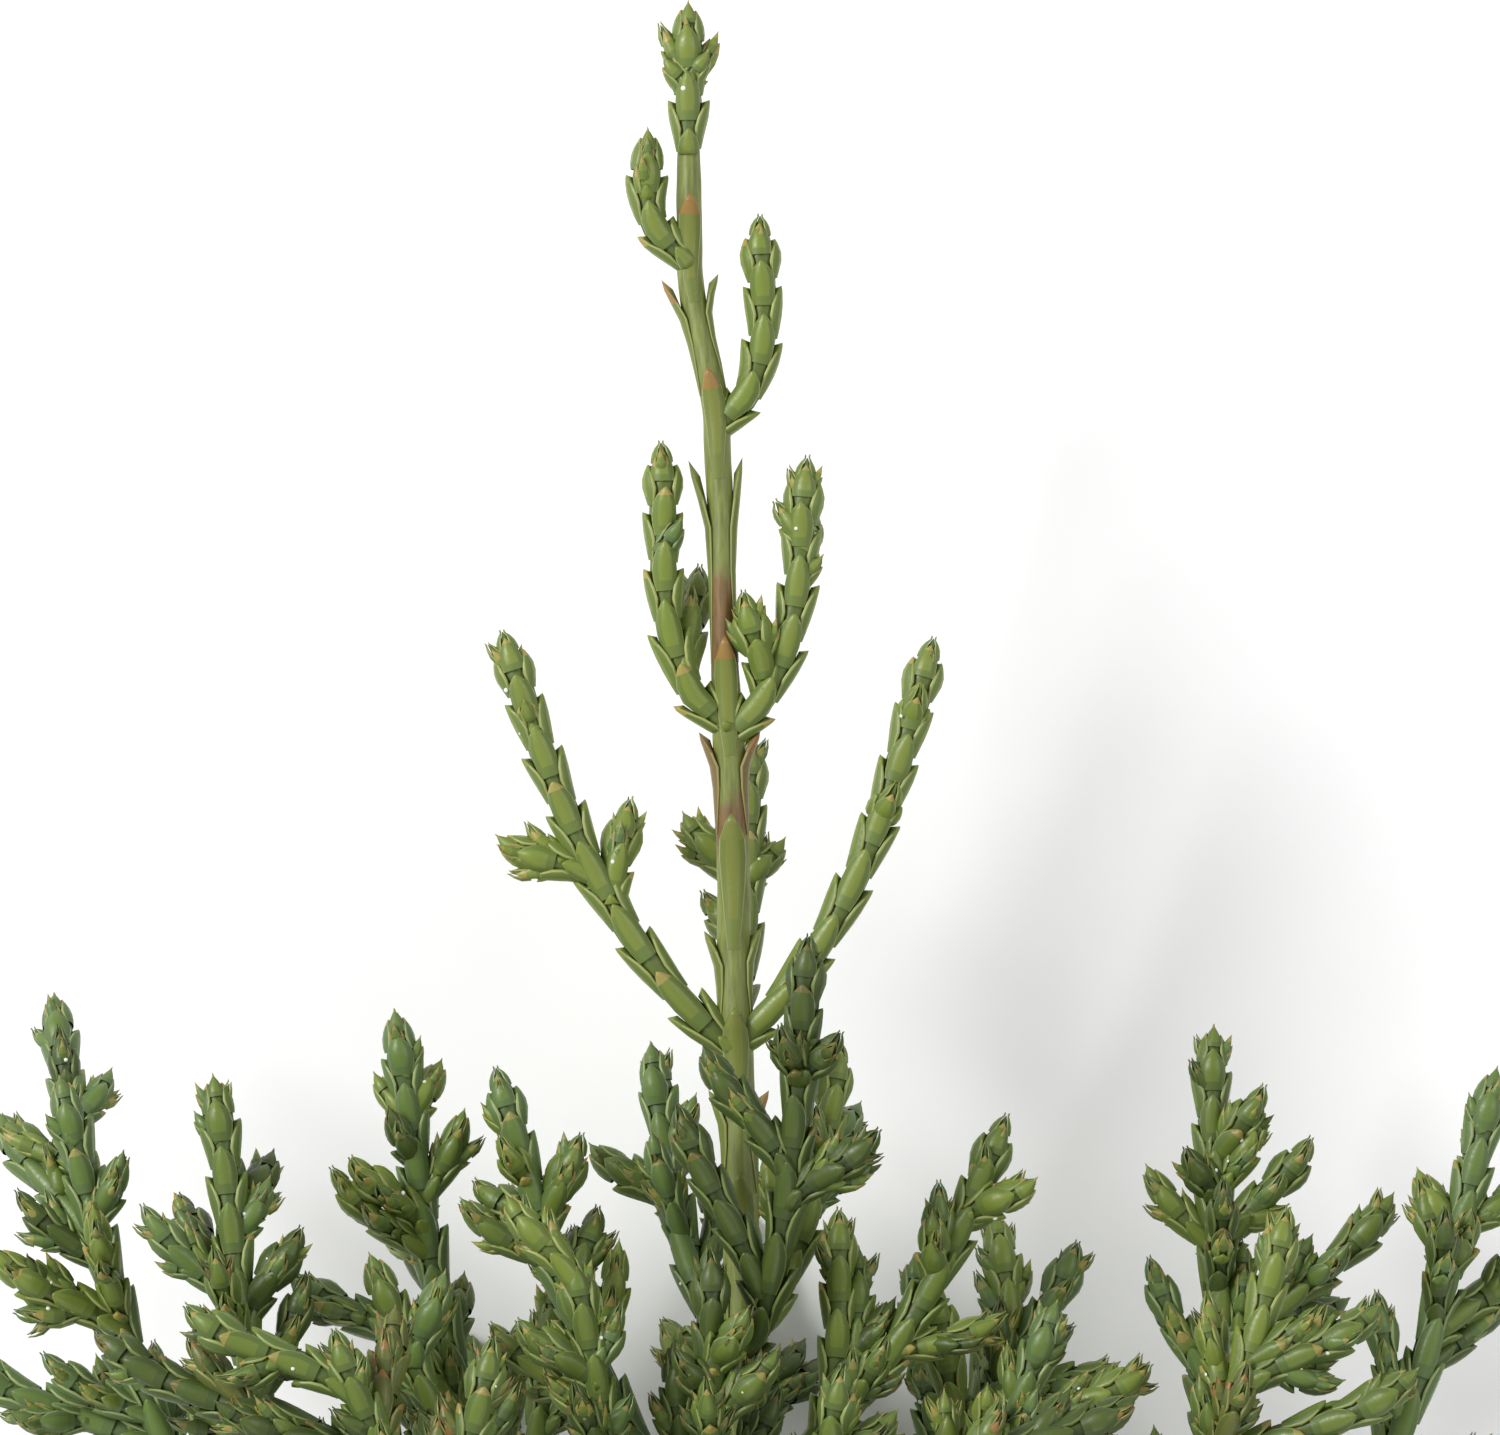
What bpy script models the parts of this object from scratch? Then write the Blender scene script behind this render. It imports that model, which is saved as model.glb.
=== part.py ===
"""
A leader shoot of a blue-green arizona cypress, cut below its lowest side branches.

It lies on its back branchlets, so that the side seen in front of the plant looks up.
Sizes below are in millimetres in the growing frame: X to the right, Y up the stem and Z towards
the viewer, with height 0 where the crowded foliage round the foot of the leader closes up.
The whole shoot is then set on the ground in metres, with Z up.
"""

import math
import random
from typing import NamedTuple

import bmesh
import bpy
import numpy as np
from mathutils import Matrix, Vector
from mathutils.geometry import interpolate_bezier

MM = 0.001
UP = Vector((0.0, 1.0, 0.0))
VIEWER = Vector((0.0, 0.0, 1.0))

# The leader: its cut, its top, and how it leans (height, x, z) and tapers (height, radius)
CUT_HEIGHT = -38.0
TOP_HEIGHT = 59.2
STEM_LINE = (
    (-38.0, 0.9, -0.5),
    (-12.0, 0.3, 0.3),
    (8.0, 0.15, 0.0),
    (24.0, -0.2, -0.3),
    (41.0, -0.75, 0.3),
    (45.5, -0.95, 0.3),
    (53.3, -2.2, 0.0),
    (60.0, -2.25, 0.0),
)
STEM_RADII = (
    (-38.0, 1.15),
    (-20.0, 1.0),
    (0.0, 0.84),
    (20.0, 0.74),
    (30.0, 0.72),
    (38.0, 0.55),
    (46.0, 0.6),
    (56.0, 0.56),
    (60.0, 0.46),
)
STEM_STEP = 4.6
STEM_NODES = (-31.0, -26.5, -22.0, -17.0, -12.5, -8.0, -4.0, 0.2, 4.0, 8.0, 12.0, 15.5, 19.4, 23.0,
              28.2, 31.8, 36.2, 44.4, 48.4, 52.7, 56.6)
STEM_LEAF_LENGTH = 2.5
STEM_LEAF_WIDTH = 1.35
STEM_LEAF_STAND = 0.5
LEAF_THICKNESS = 0.5
LEAF_SHOULDER = 0.4

# Every limb and mass stops this far from the one that carries it, and keeps it from the others
CLEAR = 0.3

# How a twig leaves its carrier, wider than the straight line to its tip, and turns up to the tip
LEAVING_MORE = 14.0
WIDEST_LEAVING = 80.0
LEAVING_SHARE = 0.36
RISING_SHARE = 0.34
LIFT = 0.35
FORK_PITCH = 40.0

# Leafy twigs: a core in four rows of scale leaves, whose pairs of tips stand out in turn to the
# sides and to front and back. The leaves are fewer and longer than life. Side shoots are
# three-sided, with one shoulder of leaves below the bud.
CORE_RADIUS = 0.66
LEAF_REACH = 1.0
LEAF_GAP = 3.0
BUSHY_LEAF_GAP = 4.2
FIRST_LEAF = 2.1
LEAF_NOTCH = 0.35
BUD_BELOW = 0.55
TIP_TAPER = 2.6
TWIG_CORNERS = (0.0, 90.0, 180.0, 270.0)
SHOOT_CORNERS = (30.0, 150.0, 270.0)
SHOULDER_BELOW = 1.2
SHORTEST_WITH_SHOULDER = 3.4
CURVE_STEP = 1.5

# Side shoots: how far below a tip the first one leaves, how far apart they are, how long they
# grow for each millimetre below the tip, and which way they leave in turn round the twig
FIRST_SHOOT = 2.9
SHOOT_GAP = 2.25
SHOOT_GROWTH = 0.44
LONGEST_SHOOT = 5.4
SHORTEST_SHOOT = 1.5
SHOOT_PITCH = 44.0
SHOOT_SHARE = 0.84
SHOOT_BEARINGS = (8.0, 188.0, 96.0, -12.0, 172.0, 268.0)

SEED = 11


class Bough(NamedTuple):
    """A side branch: where it leaves the leader and where it ends."""

    name: str
    height: float
    end: tuple
    radius: float


class Spray(NamedTuple):
    """A mass of foliage: the limb that carries it, where it leaves the leader if that is the
    limb, the tips that it reaches with the main one first, and whether it has side shoots."""

    name: str
    limb: str
    height: float
    tips: tuple
    bushy: bool


BOUGHS = (
    Bough("bough_far_left", -24.0, (-21.5, -8.5, -1.0), 0.85),
    Bough("bough_front_left", -19.5, (-17.0, -8.5, 5.5), 0.8),
    Bough("bough_near_left", -14.5, (-9.6, -5.5, -3.0), 0.7),
    Bough("bough_low_left", -23.0, (-10.0, -10.5, 9.5), 0.75),
    Bough("bough_far_right", -22.5, (18.5, -9.0, -4.0), 0.8),
    Bough("bough_edge_right", -27.5, (23.0, -13.0, 1.5), 0.85),
    Bough("bough_front_right", -18.0, (17.0, -8.0, 6.0), 0.75),
    Bough("bough_near_right", -13.0, (8.0, -5.0, -4.0), 0.65),
    Bough("bough_low_right", -20.0, (6.0, -10.0, 9.5), 0.7),
    Bough("bough_back_left", -21.0, (-7.5, -11.0, -9.5), 0.7),
    Bough("bough_back_right", -17.5, (7.5, -9.5, -9.5), 0.7),
    Bough("bough_back", -11.0, (0.2, -5.0, -8.0), 0.6),
)

SPRAYS = (
    Spray("crown_tip", "leader", TOP_HEIGHT,
          ((-2.27, 65.1, 0.0), (-3.35, 62.6, 0.5), (-1.35, 62.9, 0.6)), False),
    Spray("top_left", "leader", 54.6, ((-4.1, 59.3, 0.4),), False),
    Spray("top_right", "leader", 47.2, ((1.0, 55.4, 0.3), (1.4, 52.7, -0.6)), False),
    Spray("upper_left", "leader", 33.6,
          ((-3.5, 45.1, 0.6), (-2.6, 41.6, 1.4), (-1.75, 39.5, -1.7)), False),
    Spray("upper_right", "leader", 33.2,
          ((3.15, 44.4, 0.5), (3.8, 39.9, 0.8), (3.6, 41.8, -0.9), (1.7, 42.4, 0.4),
           (0.25, 38.3, 1.5)), False),
    Spray("middle_back", "leader", 20.6,
          ((0.5, 31.8, -4.2), (-2.5, 28.2, -3.9), (2.1, 27.0, -4.0), (-1.6, 24.6, -3.4)), False),
    Spray("arm_left", "leader", 18.8,
          ((-10.7, 36.5, 0.8), (-9.7, 33.4, 1.6), (-10.9, 27.2, 0.5), (-4.9, 28.9, -0.3)), False),
    Spray("arm_right", "leader", 19.2,
          ((8.9, 36.2, -0.4), (8.3, 34.0, 0.8), (7.2, 29.6, 1.0)), False),
    Spray("front", "leader", 5.0,
          ((3.2, 22.8, 5.6), (4.6, 18.5, 6.4), (-1.55, 17.8, 4.6), (6.3, 14.1, 5.6),
           (-2.7, 15.1, 3.8), (1.9, 18.8, 7.0)), False),
    Spray("back_upper_left", "leader", 4.5,
          ((-4.0, 17.6, -5.0), (-6.8, 13.0, -4.6), (-2.6, 13.4, -6.2)), True),
    Spray("back_upper_right", "leader", 5.5,
          ((4.7, 17.7, -4.6), (5.6, 14.8, -6.0), (4.7, 11.4, -3.2)), True),
    Spray("near_left", "leader", -4.5,
          ((-11.0, 16.7, 0.4), (-7.1, 13.7, 0.9), (-12.0, 11.5, -1.2), (-6.4, 10.3, -1.2)), True),
    Spray("near_right", "leader", -2.0,
          ((12.2, 14.5, 0.0), (13.5, 11.7, 1.4), (4.6, 10.2, -0.6), (8.8, 10.2, 1.6)), True),
    Spray("front_low", "leader", -8.0,
          ((-1.3, 8.7, 4.2), (-2.8, 4.2, 5.2), (1.75, 4.2, 4.8), (0.45, 6.1, 6.0)), True),
    Spray("front_low_right", "leader", -12.0,
          ((4.7, 3.6, 7.6), (7.1, 1.6, 6.4), (2.6, -0.6, 9.4)), True),
    Spray("low_left", "leader", -11.5,
          ((-7.5, 8.4, 3.8), (-10.4, 11.0, 3.4), (-9.9, 5.5, 4.6), (-4.8, 2.0, 3.6)), True),
    Spray("inner_left", "leader", -16.5,
          ((-16.6, 8.4, 3.4), (-20.2, 7.4, 1.6), (-13.2, 7.6, 3.6), (-14.2, 1.6, 7.4)), True),
    Spray("inner_right", "leader", -15.5,
          ((14.4, 6.2, 2.6), (18.6, 3.4, 2.8), (11.2, 2.6, 5.4)), True),
    Spray("far_left", "bough_far_left", 0.0,
          ((-30.8, 16.3, 0.6), (-31.6, 19.8, -7.0), (-33.9, 14.4, -4.0), (-33.6, 8.6, 2.8),
           (-35.6, 3.6, -2.0)), True),
    Spray("left", "bough_front_left", 0.0,
          ((-23.6, 16.5, 4.6), (-19.6, 9.7, 5.6), (-25.4, 11.0, 1.0), (-21.0, 13.0, 2.4)), True),
    Spray("mid_left", "bough_near_left", 0.0,
          ((-15.7, 19.2, -2.2), (-17.6, 12.6, -0.2), (-13.6, 16.9, -3.4), (-12.6, 7.0, -5.2)), True),
    Spray("front_left", "bough_low_left", 0.0,
          ((-17.8, 5.6, 12.5), (-10.8, 5.2, 12.0), (-15.2, 6.4, 9.6), (-24.4, 6.6, 11.5),
           (-28.6, 5.4, 8.6)), True),
    Spray("far_right", "bough_far_right", 0.0,
          ((22.0, 18.3, -7.5), (24.2, 15.6, -5.6), (20.6, 12.8, -5.4), (26.4, 13.2, -6.0),
           (30.2, 10.6, -6.4)), True),
    Spray("edge_right", "bough_edge_right", 0.0,
          ((34.6, 16.6, -1.4), (33.2, 10.4, 1.8), (31.0, 12.0, -1.4), (38.0, 8.8, -2.8)), True),
    Spray("right", "bough_front_right", 0.0,
          ((24.7, 10.6, 5.4), (28.7, 6.4, 6.8), (20.6, 3.2, 7.4), (30.2, 3.6, 9.0)), True),
    Spray("mid_right", "bough_near_right", 0.0,
          ((15.6, 8.5, -4.6), (11.9, 9.7, -6.6), (9.0, 6.7, -3.4), (17.4, 3.0, -3.4)), True),
    Spray("front_right", "bough_low_right", 0.0,
          ((11.6, 2.4, 12.0), (17.6, 2.6, 11.0), (7.0, 0.2, 13.6)), True),
    Spray("back_left", "bough_back_left", 0.0,
          ((-13.0, 3.6, -17.6), (-8.6, 6.2, -12.0), (-18.6, -2.6, -14.0), (-9.0, -4.0, -17.6)), True),
    Spray("back_right", "bough_back_right", 0.0,
          ((12.4, 4.4, -17.6), (8.2, 7.4, -12.4), (18.4, -2.0, -13.0), (9.4, -3.0, -17.6)), True),
    Spray("back", "bough_back", 0.0,
          ((0.4, 9.2, -17.6), (-3.6, 4.2, -16.4), (4.0, 2.4, -15.6)), True),
    Spray("foot_left", "leader", -29.5, ((-13.0, -17.5, -3.6), (-8.4, -15.8, -6.4)), True),
    Spray("foot_right", "leader", -30.5, ((12.6, -19.0, -2.0), (8.6, -16.8, -6.0)), True),
    Spray("foot_front", "leader", -25.0, ((-1.6, -11.5, 10.6), (2.6, -14.0, 8.0)), True),
    Spray("foot_back", "leader", -28.0, ((-0.6, -14.0, -17.6), (2.8, -18.0, -12.4)), True),
)

# Name, colour (linear), roughness
BARK = ("stem bark", (0.235, 0.2, 0.075), 0.55)
FOLIAGE = ("scale leaves", (0.085, 0.165, 0.062), 0.5)
TIP_FOLIAGE = ("young scale leaves", (0.16, 0.25, 0.06), 0.5)
YOUNG = {"crown_tip", "top_left", "top_right", "upper_left", "upper_right", "arm_left", "arm_right"}


def eased(table: tuple, height: float) -> np.ndarray:
    """The values of a table of (height, value, ...) rows at a height, eased between rows."""
    rows = np.array(table)
    heights = rows[:, 0]
    at = float(np.clip(height, heights[0], heights[-1]))
    upper = int(np.clip(np.searchsorted(heights, at), 1, len(heights) - 1))
    share = (at - heights[upper - 1]) / (heights[upper] - heights[upper - 1])
    share = share * share * (3.0 - 2.0 * share)
    return rows[upper - 1, 1:] + (rows[upper, 1:] - rows[upper - 1, 1:]) * share


def stem_centre(height: float) -> Vector:
    """The leader's centre line at a height."""
    x, z = eased(STEM_LINE, height)
    return Vector((x, height, z))


def stem_radius(height: float) -> float:
    """The leader's radius at a height."""
    return float(eased(STEM_RADII, height)[0])


def outward(bearing: float) -> Vector:
    """The level direction at a bearing round the leader: 0 right, 90 to the viewer."""
    turn = math.radians(bearing)
    return Vector((math.cos(turn), 0.0, math.sin(turn)))


def tilted(along: Vector, away: Vector, pitch: float) -> Vector:
    """The direction that leans from along towards away by the pitch in degrees."""
    lean = math.radians(pitch)
    return (along * math.cos(lean) + away * math.sin(lean)).normalized()


def squared(way: Vector, along: Vector) -> Vector:
    """A direction made square to another."""
    return (way - along * way.dot(along)).normalized()


class Twig:
    """A leafy twig or a bare limb along a curve, from its foot to its tip."""

    def __init__(self, foot: Vector, leaving: Vector, tip: Vector, radius: float, reach: float) -> None:
        """Lays the curve from the foot, where it leaves in one direction, up to the tip.

        The radius is its core's, and the reach how far out its leaves or its bark come.
        """
        span = (tip - foot).length
        rising = ((tip - foot).normalized() * (1.0 - LIFT) + UP * LIFT).normalized()
        count = max(3, round(span / CURVE_STEP)) + 1
        self.points = interpolate_bezier(
            foot, foot + leaving * span * LEAVING_SHARE, tip - rising * span * RISING_SHARE, tip, count
        )
        self.from_foot = [0.0]
        for before, after in zip(self.points, self.points[1:]):
            self.from_foot.append(self.from_foot[-1] + (after - before).length)
        self.length = self.from_foot[-1]
        self.radius = radius
        self.reach = reach
        along = (self.points[1] - self.points[0]).normalized()
        front = squared(VIEWER if abs(along.dot(VIEWER)) < 0.92 else -UP, along)
        self.fronts = []
        for before, after in zip(self.points, self.points[1:]):
            front = squared(front, (after - before).normalized())
            self.fronts.append(front)

    def stretch(self, below_tip: float) -> tuple:
        """The stretch of the curve at a distance below the tip, and how far along it that is."""
        along = min(max(self.length - below_tip, 0.0), self.length)
        upper = 1
        while upper < len(self.points) - 1 and self.from_foot[upper] < along:
            upper += 1
        span = self.from_foot[upper] - self.from_foot[upper - 1]
        return upper - 1, (along - self.from_foot[upper - 1]) / span

    def at(self, below_tip: float) -> Vector:
        """The point a distance below the tip, measured along the twig."""
        lower, share = self.stretch(below_tip)
        return self.points[lower].lerp(self.points[lower + 1], share)

    def direction(self, below_tip: float) -> Vector:
        """The way the twig runs at a distance below its tip."""
        return (self.at(below_tip - 0.5) - self.at(below_tip + 0.5)).normalized()

    def around(self, below_tip: float, bearing: float) -> Vector:
        """The direction out of the twig at a bearing round it: 0 right, 90 to the viewer."""
        along = self.direction(below_tip)
        front = squared(self.fronts[self.stretch(below_tip)[0]], along)
        turn = math.radians(bearing)
        return along.cross(front) * math.cos(turn) + front * math.sin(turn)

    def core(self, below_tip: float) -> float:
        """The radius of a leafy twig's core at a distance below the tip, which rounds in."""
        share = min(below_tip / TIP_TAPER, 1.0)
        return self.radius * (0.45 + 0.55 * math.sin(share * math.pi / 2.0))


class Room:
    """The space already taken by limbs and masses, as thick segments with their owners."""

    def __init__(self) -> None:
        """Starts with nothing taken."""
        self.starts = []
        self.ends = []
        self.radii = []
        self.owners = []

    def take(self, owner: str, start: Vector, end: Vector, radius: float) -> None:
        """Adds a thick segment that belongs to an owner."""
        self.starts.append(tuple(start))
        self.ends.append(tuple(end))
        self.radii.append(radius)
        self.owners.append(owner)

    def take_twig(self, owner: str, twig: Twig) -> None:
        """Adds every stretch of a twig."""
        for start, end in zip(twig.points, twig.points[1:]):
            self.take(owner, start, end, twig.reach)

    def free(self, owner: str, start: Vector, end: Vector, radius: float) -> bool:
        """Whether a thick segment stays clear of everything that others own."""
        others = np.array([name != owner for name in self.owners])
        starts = np.array(self.starts)[others]
        spans = np.array(self.ends)[others] - starts
        room = np.array(self.radii)[others] + radius + CLEAR
        squares = np.maximum((spans * spans).sum(axis=1), 1e-9)
        for share in np.linspace(0.0, 1.0, max(2, round((end - start).length / 0.5) + 1)):
            point = np.array(start.lerp(end, float(share)))
            along = np.clip(((point - starts) * spans).sum(axis=1) / squares, 0.0, 1.0)
            near = starts + spans * along[:, None]
            if (np.linalg.norm(point - near, axis=1) < room).any():
                return False
        return True

    def twig_free(self, owner: str, twig: Twig) -> bool:
        """Whether a whole twig stays clear of everything that others own."""
        return all(self.free(owner, a, b, twig.reach) for a, b in zip(twig.points, twig.points[1:]))


def foot_on_leader(height: float, tip: Vector, radius: float) -> tuple:
    """Where a limb to a tip starts beside the leader, clear of it, and the way it leaves."""
    centre = stem_centre(height)
    line = tip - centre
    away = squared(line, UP)
    pitch = min(math.degrees(UP.angle(line)) + LEAVING_MORE, WIDEST_LEAVING)
    stand_off = stem_radius(height) + CLEAR + radius * math.cos(math.radians(pitch))
    return centre + away * stand_off, tilted(UP, away, pitch)


def grow_bough(bough: Bough) -> Twig:
    """The curve of one side branch, from beside the leader to its end."""
    end = Vector(bough.end)
    foot, leaving = foot_on_leader(bough.height, end, bough.radius)
    return Twig(foot, leaving, end, bough.radius, bough.radius)


def fork(main: Twig, tip: Vector) -> Twig:
    """A side twig to a tip, leaving the main one where the line to the tip makes a fair fork."""
    best = None
    for step in range(4, 60):
        below = main.length * step / 60.0
        line = (tip - main.at(below)).normalized()
        pitch = math.degrees(line.angle(main.direction(below)))
        miss = abs(pitch - FORK_PITCH)
        if best is None or miss < best[0]:
            best = (miss, below)
    below = best[1]
    foot = main.at(below)
    leaving = (main.direction(below) + (tip - foot).normalized() * 1.6).normalized()
    return Twig(foot, leaving, tip, CORE_RADIUS, LEAF_REACH)


def grow_spray(spray: Spray, boughs: dict) -> list:
    """The main twig of a mass and the side twigs to its other tips."""
    tips = [Vector(tip) for tip in spray.tips]
    if spray.limb == "leader" and spray.height >= TOP_HEIGHT:
        foot = stem_centre(TOP_HEIGHT + CLEAR)
        leaving = UP
    elif spray.limb == "leader":
        foot, leaving = foot_on_leader(spray.height, tips[0], CORE_RADIUS)
    else:
        leaving = boughs[spray.limb].direction(0.0)
        foot = boughs[spray.limb].points[-1] + leaving * CLEAR
    main = Twig(foot, leaving, tips[0], CORE_RADIUS, LEAF_REACH)
    return [main] + [fork(main, tip) for tip in tips[1:]]


def grow_side_shoots(owner: str, twig: Twig, chance: random.Random, room: Room) -> list:
    """Short shoots that leave a twig in turn round it, longer further below its tip, where free."""
    shoots = []
    below = FIRST_SHOOT
    turn = chance.randrange(len(SHOOT_BEARINGS))
    while below < twig.length - SHORTEST_SHOOT:
        bearing = SHOOT_BEARINGS[turn % len(SHOOT_BEARINGS)] + chance.uniform(-24.0, 24.0)
        reach = min(below * SHOOT_GROWTH, LONGEST_SHOOT) * chance.uniform(0.85, 1.15)
        along = twig.direction(below)
        pitch = SHOOT_PITCH + chance.uniform(-6.0, 6.0)
        leaving = tilted(along, twig.around(below, bearing), pitch)
        foot = twig.at(below)
        tip = foot + leaving * max(reach, SHORTEST_SHOOT) + along * reach * 0.25
        shoot = Twig(foot, leaving, tip, CORE_RADIUS * SHOOT_SHARE, LEAF_REACH * SHOOT_SHARE)
        if room.twig_free(owner, shoot):
            room.take_twig(owner, shoot)
            shoots.append(shoot)
        below += SHOOT_GAP * chance.uniform(0.85, 1.2)
        turn += 1
    return shoots


class Leaf(NamedTuple):
    """A scale leaf: its root inside the twig, its tip, and the side of the twig it is on."""

    root: Vector
    tip: Vector
    away: Vector


def stem_leaves(room: Room) -> list:
    """The leaf pairs on the leader: to the sides and to front and back in turn, where free."""
    leaves = []
    for turn, height in enumerate(STEM_NODES):
        foot = height - STEM_LEAF_LENGTH
        for side in (0.0, 180.0):
            away = outward(90.0 * ((turn + 1) % 2) + side)
            root = stem_centre(foot) + away * stem_radius(foot) * 0.55
            tip = stem_centre(height) + away * (stem_radius(height) + STEM_LEAF_STAND)
            if room.free("leader", root.lerp(tip, 0.5), tip, STEM_LEAF_WIDTH * 0.5):
                leaves.append(Leaf(root, tip, away))
                room.take("leader", root, tip, STEM_LEAF_WIDTH * 0.5)
    return leaves


def frame_along(along: Vector, away: Vector, origin: Vector) -> Matrix:
    """A frame whose Z runs along a direction and whose Y leans to another."""
    across = away.cross(along).normalized()
    out = along.cross(across).normalized()
    turned = Matrix((across, out, along)).transposed().to_4x4()
    return Matrix.Translation(origin) @ turned


def leaf_mesh() -> bpy.types.Mesh:
    """A scale leaf of eight faces, 1 long, 1 wide and 1 thick, widest at its shoulder."""
    shape = bmesh.new()
    bmesh.ops.create_uvsphere(shape, u_segments=4, v_segments=2, radius=0.5)
    for vertex in shape.verts:
        if abs(vertex.co.z) < 0.1:
            vertex.co.z = LEAF_SHOULDER - 0.5
    bmesh.ops.translate(shape, verts=shape.verts, vec=(0.0, 0.0, 0.5))
    mesh = bpy.data.meshes.new("scale_leaf")
    shape.to_mesh(mesh)
    shape.free()
    return mesh


def leaf_object(leaf: Leaf, mesh: bpy.types.Mesh, width: float) -> bpy.types.Object:
    """A scale leaf set on its twig."""
    span = leaf.tip - leaf.root
    piece = bpy.data.objects.new("leaf", mesh)
    size = Matrix.Diagonal((width, LEAF_THICKNESS, span.length, 1.0))
    piece.matrix_world = frame_along(span.normalized(), leaf.away, leaf.root) @ size
    return piece


def twig_rings(twig: Twig, bushy: bool) -> list:
    """The sections of a leafy twig from its foot up: (below the tip, half width, half depth)."""
    rings = [(twig.length, twig.core(twig.length), twig.core(twig.length))]
    leaf_gap = BUSHY_LEAF_GAP if bushy else LEAF_GAP
    pairs = max(0, math.floor((twig.length - FIRST_LEAF - LEAF_NOTCH * 2.0) / leaf_gap) + 1)
    for pair in reversed(range(pairs)):
        below = FIRST_LEAF + leaf_gap * pair
        core = twig.core(below)
        reach = twig.reach * core / twig.radius
        rings.append((below, reach, core) if pair % 2 else (below, core, reach))
        if not bushy:
            rings.append((below - LEAF_NOTCH, core, core))
    bud = min(BUD_BELOW, twig.length * 0.4)
    return rings + [(bud, twig.core(bud), twig.core(bud))]


def shoot_rings(shoot: Twig) -> list:
    """The sections of a side shoot from its foot up: (below the tip, half width, half depth)."""
    rings = [(shoot.length, shoot.radius, shoot.radius)]
    if shoot.length > SHORTEST_WITH_SHOULDER:
        shoulder = shoot.length * 0.55
        rings.append((shoulder, shoot.reach, shoot.reach))
    return rings + [(SHOULDER_BELOW, shoot.radius, shoot.radius)]


def loft(name: str, twig: Twig, rings: list, corners: tuple) -> bpy.types.Object:
    """A twig through its sections, with a corner at each bearing, to a point at its tip."""
    shape = bmesh.new()
    last_ring = []
    for below, width, depth in rings:
        place = frame_along(twig.direction(below), twig.around(below, 90.0), twig.at(below))
        ring = []
        for corner in corners:
            turn = math.radians(corner)
            spot = Vector((width * math.cos(turn), depth * math.sin(turn), 0.0))
            ring.append(shape.verts.new(place @ spot))
        for index in range(len(ring) if last_ring else 0):
            after = (index + 1) % len(ring)
            shape.faces.new((last_ring[index], last_ring[after], ring[after], ring[index]))
        if not last_ring:
            shape.faces.new(reversed(ring))
        last_ring = ring
    point = shape.verts.new(twig.points[-1])
    for index, vertex in enumerate(last_ring):
        shape.faces.new((vertex, last_ring[(index + 1) % len(last_ring)], point))
    mesh = bpy.data.meshes.new(name)
    shape.to_mesh(mesh)
    shape.free()
    return bpy.data.objects.new(name, mesh)


def round_limb(name: str, points: list, radii: list) -> bpy.types.Object:
    """A round tapering limb along points, from a bevelled curve with filled caps."""
    curve = bpy.data.curves.new(name, "CURVE")
    curve.dimensions = "3D"
    curve.bevel_depth = 1.0
    curve.bevel_resolution = 2
    curve.use_fill_caps = True
    line = curve.splines.new("POLY")
    line.points.add(len(points) - 1)
    for knot, point, radius in zip(line.points, points, radii):
        knot.co = (*point, 1.0)
        knot.radius = radius
    drawn = bpy.data.objects.new(name, curve)
    bpy.context.scene.collection.objects.link(drawn)
    bpy.context.view_layer.update()
    mesh = bpy.data.meshes.new_from_object(drawn.evaluated_get(bpy.context.evaluated_depsgraph_get()))
    bpy.data.objects.remove(drawn)
    bpy.data.curves.remove(curve)
    shape = bmesh.new()
    shape.from_mesh(mesh)
    bmesh.ops.remove_doubles(shape, verts=shape.verts, dist=0.0001)
    bmesh.ops.recalc_face_normals(shape, faces=shape.faces)
    shape.to_mesh(mesh)
    shape.free()
    return bpy.data.objects.new(name, mesh)


def keep_largest_body(mesh: bpy.types.Mesh) -> None:
    """Drops loose scraps and fills sealed hollows, by keeping only the largest closed surface.

    Faces that a join leaves folded back on each other go too.
    """
    shape = bmesh.new()
    shape.from_mesh(mesh)
    left = set(shape.verts)
    bodies = []
    while left:
        body = {left.pop()}
        edge_of_body = list(body)
        while edge_of_body:
            vertex = edge_of_body.pop()
            for edge in vertex.link_edges:
                other = edge.other_vert(vertex)
                if other in left:
                    left.remove(other)
                    body.add(other)
                    edge_of_body.append(other)
        bodies.append(body)
    bodies.sort(key=len)
    for body in bodies[:-1]:
        bmesh.ops.delete(shape, geom=list(body), context="VERTS")
    bmesh.ops.triangulate(shape, faces=shape.faces)
    faces_at = {}
    for face in shape.faces:
        faces_at.setdefault(frozenset(face.verts), []).append(face)
    folded = [face for faces in faces_at.values() if len(faces) > 1 for face in faces]
    bmesh.ops.delete(shape, geom=folded, context="FACES")
    shape.to_mesh(mesh)
    shape.free()


def fuse(body: bpy.types.Object, pieces: list) -> None:
    """Joins the pieces to the body with one union, then removes them."""
    if not pieces:
        return
    scene = bpy.context.scene.collection
    group = bpy.data.collections.new(body.name + "_pieces")
    scene.children.link(group)
    scene.objects.link(body)
    for piece in pieces:
        group.objects.link(piece)
    union = body.modifiers.new("join", "BOOLEAN")
    union.operation = "UNION"
    union.operand_type = "COLLECTION"
    union.collection = group
    union.solver = "EXACT"
    bpy.context.view_layer.update()
    joined = bpy.data.meshes.new_from_object(body.evaluated_get(bpy.context.evaluated_depsgraph_get()))
    body.modifiers.clear()
    body.data = joined
    joined.name = body.name
    keep_largest_body(joined)
    for piece in pieces:
        bpy.data.objects.remove(piece)
    bpy.data.collections.remove(group)
    scene.objects.unlink(body)


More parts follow.
